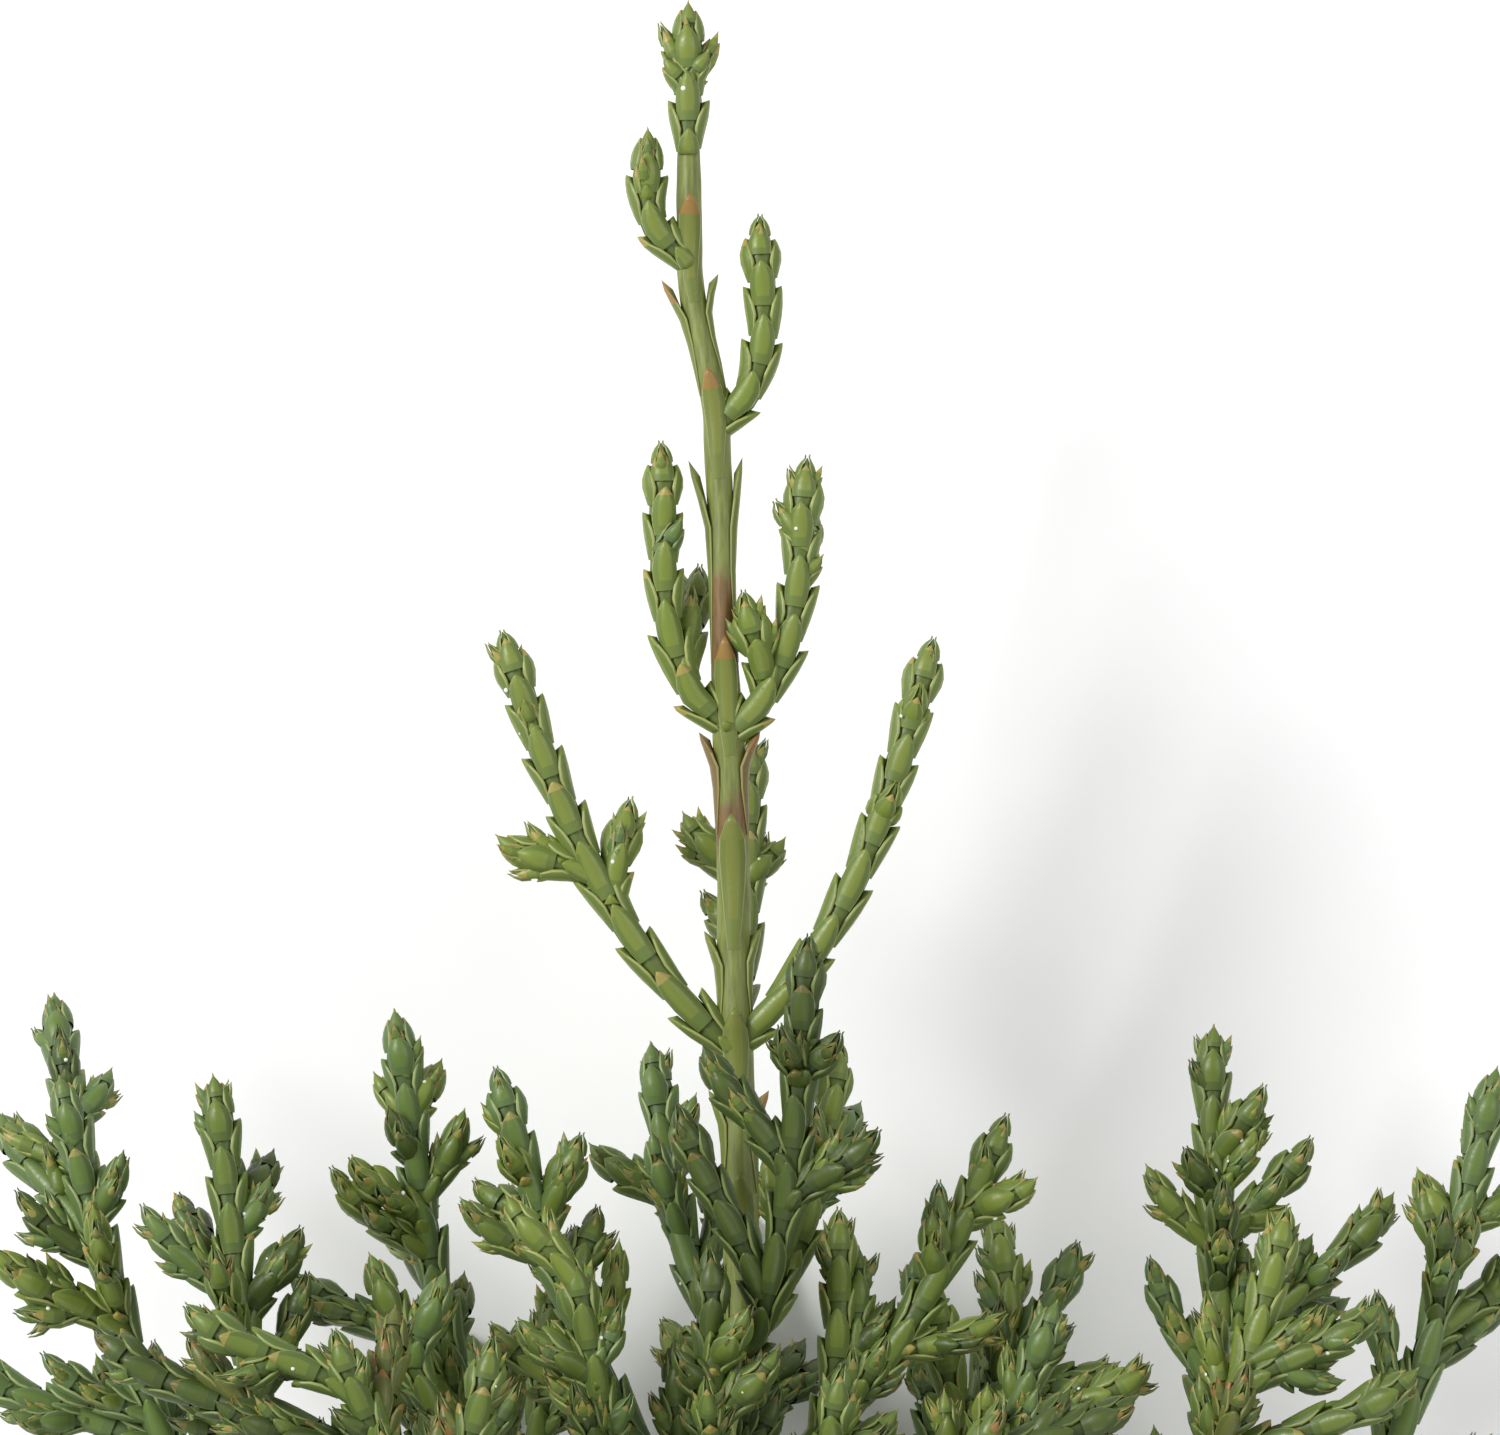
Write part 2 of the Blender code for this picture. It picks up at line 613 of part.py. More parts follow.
def finish_material(name: str, colour: tuple, roughness: float) -> bpy.types.Material:
    """A Principled material in one colour."""
    material = bpy.data.materials.new(name)
    material.use_nodes = True
    shader = material.node_tree.nodes["Principled BSDF"]
    shader.inputs["Base Color"].default_value = (*colour, 1.0)
    shader.inputs["Roughness"].default_value = roughness
    shader.inputs["Metallic"].default_value = 0.0
    return material


def build_leader(room: Room, leaf: bpy.types.Mesh) -> bpy.types.Object:
    """The stem with its leaf pairs, from the flat cut to the bud cluster at its top."""
    count = round((TOP_HEIGHT - CUT_HEIGHT) / STEM_STEP) + 1
    heights = [float(height) for height in np.linspace(CUT_HEIGHT, TOP_HEIGHT, count)]
    points = [stem_centre(height) for height in heights]
    body = round_limb("leader", points, [stem_radius(height) for height in heights])
    pieces = [leaf_object(one, leaf, STEM_LEAF_WIDTH) for one in stem_leaves(room)]
    fuse(body, pieces)
    return body


def build_bough(name: str, twig: Twig) -> bpy.types.Object:
    """A side branch, tapering to the thickness of the twig that it carries."""
    count = max(3, round(twig.length / STEM_STEP) + 1)
    shares = [float(share) for share in np.linspace(0.0, 1.0, count)]
    points = [twig.at(twig.length * (1.0 - share)) for share in shares]
    radii = [twig.radius + (CORE_RADIUS - twig.radius) * share for share in shares]
    return round_limb(name, points, radii)


def main() -> None:
    """Grows the shoot, joins each mass of foliage and lays the whole on the ground."""
    for thing in list(bpy.data.objects):
        bpy.data.objects.remove(thing)
    parts = bpy.data.collections.new("arizona_cypress_leader")
    bpy.context.scene.collection.children.link(parts)

    room = Room()
    heights = np.linspace(CUT_HEIGHT, TOP_HEIGHT, 60)
    for low, high in zip(heights, heights[1:]):
        room.take("leader", stem_centre(low), stem_centre(high), stem_radius(low))
    boughs = {bough.name: grow_bough(bough) for bough in BOUGHS}
    for name, twig in boughs.items():
        room.take_twig(name, twig)
    axes = {spray.name: grow_spray(spray, boughs) for spray in SPRAYS}
    for name, twigs in axes.items():
        for twig in twigs:
            room.take_twig(name, twig)
    shoots = {}
    for index, spray in enumerate(SPRAYS):
        chance = random.Random(SEED + index)
        found = []
        if spray.bushy:
            for twig in axes[spray.name]:
                found += grow_side_shoots(spray.name, twig, chance, room)
        shoots[spray.name] = found

    leaf = leaf_mesh()
    bark = finish_material(*BARK)
    young = finish_material(*TIP_FOLIAGE)
    grown = finish_material(*FOLIAGE)
    nodes = [(build_leader(room, leaf), bark)]
    nodes += [(build_bough(name, twig), bark) for name, twig in boughs.items()]
    for spray in SPRAYS:
        twigs = [loft(spray.name, twig, twig_rings(twig, spray.bushy), TWIG_CORNERS)
                 for twig in axes[spray.name]]
        twigs += [loft("shoot", shoot, shoot_rings(shoot), SHOOT_CORNERS)
                  for shoot in shoots[spray.name]]
        body = twigs[0]
        fuse(body, twigs[1:])
        nodes.append((body, young if spray.name in YOUNG else grown))

    place = bpy.data.objects.new("shoot_on_the_ground", None)
    parts.objects.link(place)
    corners = []
    for body, material in nodes:
        body.data.transform(Matrix.Scale(MM, 4))
        body.data.materials.clear()
        body.data.materials.append(material)
        body.parent = place
        parts.objects.link(body)
        corners += [vertex.co.copy() for vertex in body.data.vertices]
    spots = np.array(corners)
    low, high = spots.min(axis=0), spots.max(axis=0)
    place.location = (-(low[0] + high[0]) / 2.0, -(low[1] + high[1]) / 2.0, -low[2])


main()
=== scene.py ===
"""Looks for the cut leader shoot of a blue-green arizona cypress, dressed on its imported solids.

Every limb and twig grows again by the rule of the part's source, in millimetres in the growing
frame: X to the right, Y up the stem, Z towards the viewer. The twigs are then clothed in closely
overlapping scale leaves, carried on to the small buds and side shoots that the solids leave out.
"""

import logging
import math
import random
from dataclasses import dataclass, field
from enum import Enum
from typing import NamedTuple

import bpy
import numpy as np
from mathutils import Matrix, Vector
from mathutils.geometry import interpolate_bezier


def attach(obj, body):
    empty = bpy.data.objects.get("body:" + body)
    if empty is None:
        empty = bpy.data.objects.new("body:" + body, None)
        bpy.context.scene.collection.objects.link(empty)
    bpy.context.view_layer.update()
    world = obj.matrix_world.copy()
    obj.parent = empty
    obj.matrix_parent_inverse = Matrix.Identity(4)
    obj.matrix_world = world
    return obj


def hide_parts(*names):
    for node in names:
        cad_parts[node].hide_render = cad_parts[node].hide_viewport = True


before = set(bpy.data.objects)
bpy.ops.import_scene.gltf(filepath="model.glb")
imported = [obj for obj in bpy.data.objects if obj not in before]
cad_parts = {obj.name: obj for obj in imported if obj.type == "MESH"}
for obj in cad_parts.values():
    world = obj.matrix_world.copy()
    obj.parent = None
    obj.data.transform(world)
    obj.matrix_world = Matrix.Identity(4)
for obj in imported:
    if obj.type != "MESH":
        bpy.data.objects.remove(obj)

logging.basicConfig(level=logging.INFO, format="%(message)s")
log = logging.getLogger("sprig")

MM = 0.001
UP = Vector((0.0, 1.0, 0.0))
VIEWER = Vector((0.0, 0.0, 1.0))
DOWN_THE_STEM = Vector((0.0, -1.0, 0.0))

# Where the growing frame's origin lies in the part's frame, in millimetres
ON_THE_GROUND = (-1.2, -13.54, 18.024)

# The rule of the source: how limbs and twigs leave, how wide they are and where shoots stand
SEED = 11
CLEAR = 0.3
LEAVING_MORE = 14.0
WIDEST_LEAVING = 80.0
LEAVING_SHARE = 0.36
RISING_SHARE = 0.34
LIFT = 0.35
FORK_PITCH = 40.0
CORE_RADIUS = 0.66
LEAF_REACH = 1.0
CURVE_STEP = 1.5
FEWEST_STRETCHES = 3
AIMED_OVER = 0.5
PROBE_STEP = 0.5
FEWEST_PROBES = 2
SMALLEST_SQUARE = 1e-9
END_ON = 0.92
FORK_TRIES = 60
FIRST_FORK_TRY = 4
FORK_AIM = 1.6
FIRST_SHOOT = 2.9
SHOOT_GAP = 2.25
SHOOT_GROWTH = 0.44
LONGEST_SHOOT = 5.4
SHORTEST_SHOOT = 1.5
SHOOT_PITCH = 44.0
SHOOT_SHARE = 0.84
SHOOT_BEARINGS = (8.0, 188.0, 96.0, -12.0, 172.0, 268.0)
SHOOT_SWAY = 24.0
SHOOT_PITCH_SWAY = 6.0
SHOOT_LENGTHS = (0.85, 1.15)
SHOOT_GAPS = (0.85, 1.2)
SHOOT_RISE = 0.25
LEADER_STRETCHES = 60

# The seeds that only the looks draw from, one run for each kind of growth
LOOKS_SEED = 407
BOUGH_LEAF_SEED = LOOKS_SEED + 50
BUD_SEED = LOOKS_SEED + 100
LEAF_SEED = LOOKS_SEED + 300
FLECK_SEED = LOOKS_SEED + 9


class Bough(NamedTuple):
    """A side branch: where it leaves the leader and where it ends."""

    name: str
    height: float
    end: tuple
    radius: float


class Spray(NamedTuple):
    """A mass of foliage: its limb, where it leaves the leader, its tips and if it is bushy."""

    name: str
    limb: str
    height: float
    tips: tuple
    bushy: bool


BOUGHS = (
    Bough("bough_far_left", -24.0, (-21.5, -8.5, -1.0), 0.85),
    Bough("bough_front_left", -19.5, (-17.0, -8.5, 5.5), 0.8),
    Bough("bough_near_left", -14.5, (-9.6, -5.5, -3.0), 0.7),
    Bough("bough_low_left", -23.0, (-10.0, -10.5, 9.5), 0.75),
    Bough("bough_far_right", -22.5, (18.5, -9.0, -4.0), 0.8),
    Bough("bough_edge_right", -27.5, (23.0, -13.0, 1.5), 0.85),
    Bough("bough_front_right", -18.0, (17.0, -8.0, 6.0), 0.75),
    Bough("bough_near_right", -13.0, (8.0, -5.0, -4.0), 0.65),
    Bough("bough_low_right", -20.0, (6.0, -10.0, 9.5), 0.7),
    Bough("bough_back_left", -21.0, (-7.5, -11.0, -9.5), 0.7),
    Bough("bough_back_right", -17.5, (7.5, -9.5, -9.5), 0.7),
    Bough("bough_back", -11.0, (0.2, -5.0, -8.0), 0.6),
)

SPRAYS = (
    Spray("crown_tip", "leader", 59.2,
          ((-2.27, 65.1, 0.0), (-3.35, 62.6, 0.5), (-1.35, 62.9, 0.6)), False),
    Spray("top_left", "leader", 54.6, ((-4.1, 59.3, 0.4),), False),
    Spray("top_right", "leader", 47.2, ((1.0, 55.4, 0.3), (1.4, 52.7, -0.6)), False),
    Spray("upper_left", "leader", 33.6,
          ((-3.5, 45.1, 0.6), (-2.6, 41.6, 1.4), (-1.75, 39.5, -1.7)), False),
    Spray("upper_right", "leader", 33.2,
          ((3.15, 44.4, 0.5), (3.8, 39.9, 0.8), (3.6, 41.8, -0.9), (1.7, 42.4, 0.4),
           (0.25, 38.3, 1.5)), False),
    Spray("middle_back", "leader", 20.6,
          ((0.5, 31.8, -4.2), (-2.5, 28.2, -3.9), (2.1, 27.0, -4.0), (-1.6, 24.6, -3.4)), False),
    Spray("arm_left", "leader", 18.8,
          ((-10.7, 36.5, 0.8), (-9.7, 33.4, 1.6), (-10.9, 27.2, 0.5), (-4.9, 28.9, -0.3)), False),
    Spray("arm_right", "leader", 19.2,
          ((8.9, 36.2, -0.4), (8.3, 34.0, 0.8), (7.2, 29.6, 1.0)), False),
    Spray("front", "leader", 5.0,
          ((3.2, 22.8, 5.6), (4.6, 18.5, 6.4), (-1.55, 17.8, 4.6), (6.3, 14.1, 5.6),
           (-2.7, 15.1, 3.8), (1.9, 18.8, 7.0)), False),
    Spray("back_upper_left", "leader", 4.5,
          ((-4.0, 17.6, -5.0), (-6.8, 13.0, -4.6), (-2.6, 13.4, -6.2)), True),
    Spray("back_upper_right", "leader", 5.5,
          ((4.7, 17.7, -4.6), (5.6, 14.8, -6.0), (4.7, 11.4, -3.2)), True),
    Spray("near_left", "leader", -4.5,
          ((-11.0, 16.7, 0.4), (-7.1, 13.7, 0.9), (-12.0, 11.5, -1.2), (-6.4, 10.3, -1.2)), True),
    Spray("near_right", "leader", -2.0,
          ((12.2, 14.5, 0.0), (13.5, 11.7, 1.4), (4.6, 10.2, -0.6), (8.8, 10.2, 1.6)), True),
    Spray("front_low", "leader", -8.0,
          ((-1.3, 8.7, 4.2), (-2.8, 4.2, 5.2), (1.75, 4.2, 4.8), (0.45, 6.1, 6.0)), True),
    Spray("front_low_right", "leader", -12.0,
          ((4.7, 3.6, 7.6), (7.1, 1.6, 6.4), (2.6, -0.6, 9.4)), True),
    Spray("low_left", "leader", -11.5,
          ((-7.5, 8.4, 3.8), (-10.4, 11.0, 3.4), (-9.9, 5.5, 4.6), (-4.8, 2.0, 3.6)), True),
    Spray("inner_left", "leader", -16.5,
          ((-16.6, 8.4, 3.4), (-20.2, 7.4, 1.6), (-13.2, 7.6, 3.6), (-14.2, 1.6, 7.4)), True),
    Spray("inner_right", "leader", -15.5,
          ((14.4, 6.2, 2.6), (18.6, 3.4, 2.8), (11.2, 2.6, 5.4)), True),
    Spray("far_left", "bough_far_left", 0.0,
          ((-30.8, 16.3, 0.6), (-31.6, 19.8, -7.0), (-33.9, 14.4, -4.0), (-33.6, 8.6, 2.8),
           (-35.6, 3.6, -2.0)), True),
    Spray("left", "bough_front_left", 0.0,
          ((-23.6, 16.5, 4.6), (-19.6, 9.7, 5.6), (-25.4, 11.0, 1.0), (-21.0, 13.0, 2.4)), True),
    Spray("mid_left", "bough_near_left", 0.0,
          ((-15.7, 19.2, -2.2), (-17.6, 12.6, -0.2), (-13.6, 16.9, -3.4),
           (-12.6, 7.0, -5.2)), True),
    Spray("front_left", "bough_low_left", 0.0,
          ((-17.8, 5.6, 12.5), (-10.8, 5.2, 12.0), (-15.2, 6.4, 9.6), (-24.4, 6.6, 11.5),
           (-28.6, 5.4, 8.6)), True),
    Spray("far_right", "bough_far_right", 0.0,
          ((22.0, 18.3, -7.5), (24.2, 15.6, -5.6), (20.6, 12.8, -5.4), (26.4, 13.2, -6.0),
           (30.2, 10.6, -6.4)), True),
    Spray("edge_right", "bough_edge_right", 0.0,
          ((34.6, 16.6, -1.4), (33.2, 10.4, 1.8), (31.0, 12.0, -1.4), (38.0, 8.8, -2.8)), True),
    Spray("right", "bough_front_right", 0.0,
          ((24.7, 10.6, 5.4), (28.7, 6.4, 6.8), (20.6, 3.2, 7.4), (30.2, 3.6, 9.0)), True),
    Spray("mid_right", "bough_near_right", 0.0,
          ((15.6, 8.5, -4.6), (11.9, 9.7, -6.6), (9.0, 6.7, -3.4), (17.4, 3.0, -3.4)), True),
    Spray("front_right", "bough_low_right", 0.0,
          ((11.6, 2.4, 12.0), (17.6, 2.6, 11.0), (7.0, 0.2, 13.6)), True),
    Spray("back_left", "bough_back_left", 0.0,
          ((-13.0, 3.6, -17.6), (-8.6, 6.2, -12.0), (-18.6, -2.6, -14.0),
           (-9.0, -4.0, -17.6)), True),
    Spray("back_right", "bough_back_right", 0.0,
          ((12.4, 4.4, -17.6), (8.2, 7.4, -12.4), (18.4, -2.0, -13.0), (9.4, -3.0, -17.6)), True),
    Spray("back", "bough_back", 0.0,
          ((0.4, 9.2, -17.6), (-3.6, 4.2, -16.4), (4.0, 2.4, -15.6)), True),
    Spray("foot_left", "leader", -29.5, ((-13.0, -17.5, -3.6), (-8.4, -15.8, -6.4)), True),
    Spray("foot_right", "leader", -30.5, ((12.6, -19.0, -2.0), (8.6, -16.8, -6.0)), True),
    Spray("foot_front", "leader", -25.0, ((-1.6, -11.5, 10.6), (2.6, -14.0, 8.0)), True),
    Spray("foot_back", "leader", -28.0, ((-0.6, -14.0, -17.6), (2.8, -18.0, -12.4)), True),
)

# Which masses are joined into one piece of leaves and one of twigs
GROUPS = {
    "crown": ("crown_tip", "top_left", "top_right", "upper_left", "upper_right", "middle_back",
              "arm_left", "arm_right", "front"),
    "middle": ("back_upper_left", "back_upper_right", "near_left", "near_right", "front_low",
               "front_low_right", "low_left"),
    "left": ("far_left", "left", "mid_left"),
    "inner": ("inner_left", "inner_right", "front_left", "mid_right"),
    "right": ("far_right", "edge_right", "right", "front_right"),
    "back": ("back_left", "back_right", "back", "foot_left", "foot_right", "foot_front",
             "foot_back"),
}


def eased(table: tuple, height: float) -> np.ndarray:
    """Reads a table of (height, value, ...) rows at a height.

    Args:
        table: The rows, from the lowest height up.
        height: Where to read.

    Returns:
        The values there, eased between rows.
    """
    rows = np.array(table)
    heights = rows[:, 0]
    at = float(np.clip(height, heights[0], heights[-1]))
    upper = int(np.clip(np.searchsorted(heights, at), 1, len(heights) - 1))
    share = (at - heights[upper - 1]) / (heights[upper] - heights[upper - 1])
    share = share * share * (3.0 - 2.0 * share)
    return rows[upper - 1, 1:] + (rows[upper, 1:] - rows[upper - 1, 1:]) * share


def tilted(along: Vector, away: Vector, pitch: float) -> Vector:
    """Leans a direction towards another by a pitch in degrees."""
    lean = math.radians(pitch)
    return (along * math.cos(lean) + away * math.sin(lean)).normalized()


def squared(way: Vector, along: Vector) -> Vector:
    """Makes a direction square to another."""
    return (way - along * way.dot(along)).normalized()


@dataclass(frozen=True)
class LeaderShape:
    """The leader: its cut, top, lean, taper and the heights of its leaf pairs, in millimetres."""

    cut: float = -38.0
    top: float = 59.2
    line: tuple = ((-38.0, 0.9, -0.5), (-12.0, 0.3, 0.3), (8.0, 0.15, 0.0), (24.0, -0.2, -0.3),
                   (41.0, -0.75, 0.3), (45.5, -0.95, 0.3), (53.3, -2.2, 0.0), (60.0, -2.25, 0.0))
    radii: tuple = ((-38.0, 1.15), (-20.0, 1.0), (0.0, 0.84), (20.0, 0.74), (30.0, 0.72),
                    (38.0, 0.55), (46.0, 0.6), (56.0, 0.56), (60.0, 0.46))
    nodes: tuple = (-31.0, -26.5, -22.0, -17.0, -12.5, -8.0, -4.0, 0.2, 4.0, 8.0, 12.0, 15.5, 19.4,
                    23.0, 28.2, 31.8, 36.2, 44.4, 48.4, 52.7, 56.6)

    def centre(self, height: float) -> Vector:
        """The centre line at a height."""
        x, z = eased(self.line, height)
        return Vector((x, height, z))

    def radius(self, height: float) -> float:
        """The radius at a height."""
        return float(eased(self.radii, height)[0])


LEADER = LeaderShape()


class Twig:
    """A leafy twig or a bare limb along a curve, from its foot to its tip, as in the source."""

    def __init__(self, foot: Vector, leaving: Vector, tip: Vector, radius: float,
                 reach: float) -> None:
        """Lays the curve from the foot up to the tip.

        Args:
            foot: Where it starts.
            leaving: The direction it leaves in.
            tip: Where it ends.
            radius: Its core's radius.
            reach: How far out its leaves or its bark come.
        """
        span = (tip - foot).length
        rising = ((tip - foot).normalized() * (1.0 - LIFT) + UP * LIFT).normalized()
        self.handles = (foot, foot + leaving * span * LEAVING_SHARE,
                        tip - rising * span * RISING_SHARE, tip)
        stretches = max(FEWEST_STRETCHES, round(span / CURVE_STEP))
        self.points = interpolate_bezier(*self.handles, stretches + 1)
        self.from_foot = [0.0]
        for before, after in zip(self.points, self.points[1:]):
            self.from_foot.append(self.from_foot[-1] + (after - before).length)
        self.length = self.from_foot[-1]
        self.radius = radius
        self.reach = reach
        self.root = None
        along = (self.points[1] - self.points[0]).normalized()
        front = squared(VIEWER if abs(along.dot(VIEWER)) < END_ON else DOWN_THE_STEM, along)
        self.fronts = []
        for before, after in zip(self.points, self.points[1:]):
            front = squared(front, (after - before).normalized())
            self.fronts.append(front)

    def stretch(self, below_tip: float) -> tuple:
        """Finds the stretch of the curve at a distance below the tip.

        Args:
            below_tip: The distance, measured along the twig.

        Returns:
            The stretch's number and how far along it the place is.
        """
        along = min(max(self.length - below_tip, 0.0), self.length)
        upper = 1
        while upper < len(self.points) - 1 and self.from_foot[upper] < along:
            upper += 1
        span = self.from_foot[upper] - self.from_foot[upper - 1]
        return upper - 1, (along - self.from_foot[upper - 1]) / span

    def at(self, below_tip: float) -> Vector:
        """The point a distance below the tip."""
        lower, share = self.stretch(below_tip)
        return self.points[lower].lerp(self.points[lower + 1], share)

    def direction(self, below_tip: float) -> Vector:
        """The way the twig runs at a distance below its tip."""
        return (self.at(below_tip - AIMED_OVER) - self.at(below_tip + AIMED_OVER)).normalized()

    def around(self, below_tip: float, bearing: float) -> Vector:
        """Finds the direction out of the twig at a bearing round it.

        Args:
            below_tip: The distance below the tip.
            bearing: The bearing in degrees: 0 right, 90 to the viewer.

        Returns:
            The direction.
        """
        along = self.direction(below_tip)
        front = squared(self.fronts[self.stretch(below_tip)[0]], along)
        turn = math.radians(bearing)
        return along.cross(front) * math.cos(turn) + front * math.sin(turn)


class Room:
    """The space already taken by limbs and masses, as thick segments with their owners."""

    def __init__(self) -> None:
        """Starts with nothing taken."""
        self.starts: list = []
        self.ends: list = []
        self.radii: list = []
        self.owners: list = []

    def take(self, owner: str, start: Vector, end: Vector, radius: float) -> None:
        """Adds a thick segment.

        Args:
            owner: The limb or mass that it belongs to.
            start: One end.
            end: The other end.
            radius: How thick it is.
        """
        self.starts.append(tuple(start))
        self.ends.append(tuple(end))
        self.radii.append(radius)
        self.owners.append(owner)

    def take_twig(self, owner: str, twig: Twig) -> None:
        """Adds every stretch of a twig."""
        for start, end in zip(twig.points, twig.points[1:]):
            self.take(owner, start, end, twig.reach)

    def free(self, owner: str, start: Vector, end: Vector, radius: float) -> bool:
        """Tests a thick segment against everything that others own.

        Args:
            owner: Whose segments don't count.
            start: One end.
            end: The other end.
            radius: How thick it is.

        Returns:
            Whether it stays clear.
        """
        others = np.array([name != owner for name in self.owners])
        starts = np.array(self.starts)[others]
        spans = np.array(self.ends)[others] - starts
        room = np.array(self.radii)[others] + radius + CLEAR
        squares = np.maximum((spans * spans).sum(axis=1), SMALLEST_SQUARE)
        probes = max(FEWEST_PROBES, round((end - start).length / PROBE_STEP) + 1)
        for share in np.linspace(0.0, 1.0, probes):
            point = np.array(start.lerp(end, float(share)))
            along = np.clip(((point - starts) * spans).sum(axis=1) / squares, 0.0, 1.0)
            near = starts + spans * along[:, None]
            if (np.linalg.norm(point - near, axis=1) < room).any():
                return False
        return True

    def twig_free(self, owner: str, twig: Twig) -> bool:
        """Whether a whole twig stays clear of everything that others own."""
        return all(self.free(owner, start, end, twig.reach)
                   for start, end in zip(twig.points, twig.points[1:]))


@dataclass
class Growth:
    """The whole shoot by the source's rule, and the finer twigs that only the looks have."""

    root_in_tip: float = 1.0
    root_in_leader: float = 1.4
    root_in_bough: float = 1.2
    bud_below: float = 1.75
    bud_length: float = 1.25
    bud_pitch: float = 34.0
    bud_rise: float = 0.15
    bud_share: float = 0.7
    fuller_on_shoots: float = 0.1
    bud_sway: float = 12.0
    bud_places: tuple = (0.9, 1.15)
    bud_lengths: tuple = (0.8, 1.2)
    shortest_with_buds: float = 2.6
    shortest_with_side_buds: float = 3.3
    longest_with_side_buds: float = LONGEST_SHOOT * 1.5
    side_bud_place: float = 0.62
    side_bud_share: float = 0.36
    longest_side_bud: float = 2.3
    first_limb_shoot: float = 1.6
    bare_foot: float = 3.0
    limb_shoot_gap: float = 2.6
    limb_shoot_sway: float = 20.0
    limb_shoot_tries: tuple = (5.0, 3.4, 2.2)
    limb_shoot_lengths: tuple = (0.85, 1.1)
    limb_shoot_rise: float = 0.2
    floor: float = -18.0
    room: Room = field(default_factory=Room)

    def foot_on_leader(self, height: float, tip: Vector, radius: float) -> tuple:
        """Finds where a limb starts beside the leader.

        Args:
            height: Where it leaves the leader.
            tip: Where it ends.
            radius: Its radius.

        Returns:
            Its foot and the direction it leaves in.
        """
        centre = LEADER.centre(height)
        line = tip - centre
        away = squared(line, UP)
        pitch = min(math.degrees(UP.angle(line)) + LEAVING_MORE, WIDEST_LEAVING)
        stand_off = LEADER.radius(height) + CLEAR + radius * math.cos(math.radians(pitch))
        return centre + away * stand_off, tilted(UP, away, pitch)

    def bough(self, bough: Bough) -> Twig:
        """Lays one side branch.

        Args:
            bough: The side branch.

        Returns:
            Its curve, from beside the leader to its end.
        """
        end = Vector(bough.end)
        foot, leaving = self.foot_on_leader(bough.height, end, bough.radius)
        return Twig(foot, leaving, end, bough.radius, bough.radius)

    def fork(self, main: Twig, tip: Vector) -> Twig:
        """Lays a side twig to a tip, where the line to it makes a fair fork.

        Args:
            main: The twig that carries it.
            tip: Where it ends.

        Returns:
            The side twig.
        """
        best = None
        for step in range(FIRST_FORK_TRY, FORK_TRIES):
            below = main.length * step / FORK_TRIES
            line = (tip - main.at(below)).normalized()
            miss = abs(math.degrees(line.angle(main.direction(below))) - FORK_PITCH)
            if best is None or miss < best[0]:
                best = (miss, below)
        foot = main.at(best[1])
        leaving = (main.direction(best[1]) + (tip - foot).normalized() * FORK_AIM).normalized()
        return Twig(foot, leaving, tip, CORE_RADIUS, LEAF_REACH)

    def spray(self, spray: Spray, boughs: dict) -> list:
        """Lays a mass's main twig and the side twigs to its other tips.

        Args:
            spray: The mass.
            boughs: The side branches by name.

        Returns:
            The twigs, the main one first. Its root is a place inside the limb that carries it.
        """
        tips = [Vector(tip) for tip in spray.tips]
        if spray.limb == "leader" and spray.height >= LEADER.top:
            foot, leaving = LEADER.centre(LEADER.top + CLEAR), UP
            root = LEADER.centre(LEADER.top - self.root_in_tip)
        elif spray.limb == "leader":
            foot, leaving = self.foot_on_leader(spray.height, tips[0], CORE_RADIUS)
            root = LEADER.centre(spray.height - self.root_in_leader)
        else:
            leaving = boughs[spray.limb].direction(0.0)
            foot = boughs[spray.limb].points[-1] + leaving * CLEAR
            root = boughs[spray.limb].at(self.root_in_bough)
        main = Twig(foot, leaving, tips[0], CORE_RADIUS, LEAF_REACH)
        main.root = root
        return [main] + [self.fork(main, tip) for tip in tips[1:]]

    def shoot(self, foot: Vector, leaving: Vector, tip: Vector) -> Twig:
        """Lays a short shoot, a little slimmer than the twig that carries it."""
        return Twig(foot, leaving, tip, CORE_RADIUS * SHOOT_SHARE, LEAF_REACH * SHOOT_SHARE)

    def side_shoots(self, owner: str, twig: Twig, chance: random.Random) -> list:
        """Grows short shoots in turn round a twig, longer further below its tip, where free.

        Args:
            owner: The mass.
            twig: The twig that carries them.
            chance: The mass's own random numbers.

        Returns:
            The shoots.
        """
        shoots = []
        below = FIRST_SHOOT
        turn = chance.randrange(len(SHOOT_BEARINGS))
        while below < twig.length - SHORTEST_SHOOT:
            bearing = SHOOT_BEARINGS[turn % len(SHOOT_BEARINGS)]
            bearing += chance.uniform(-SHOOT_SWAY, SHOOT_SWAY)
            reach = min(below * SHOOT_GROWTH, LONGEST_SHOOT) * chance.uniform(*SHOOT_LENGTHS)
            along = twig.direction(below)
            pitch = SHOOT_PITCH + chance.uniform(-SHOOT_PITCH_SWAY, SHOOT_PITCH_SWAY)
            leaving = tilted(along, twig.around(below, bearing), pitch)
            foot = twig.at(below)
            tip = foot + leaving * max(reach, SHORTEST_SHOOT) + along * reach * SHOOT_RISE
            shoot = self.shoot(foot, leaving, tip)
            if self.room.twig_free(owner, shoot):
                self.room.take_twig(owner, shoot)
                shoots.append(shoot)
            below += SHOOT_GAP * chance.uniform(*SHOOT_GAPS)
            turn += 1
        return shoots

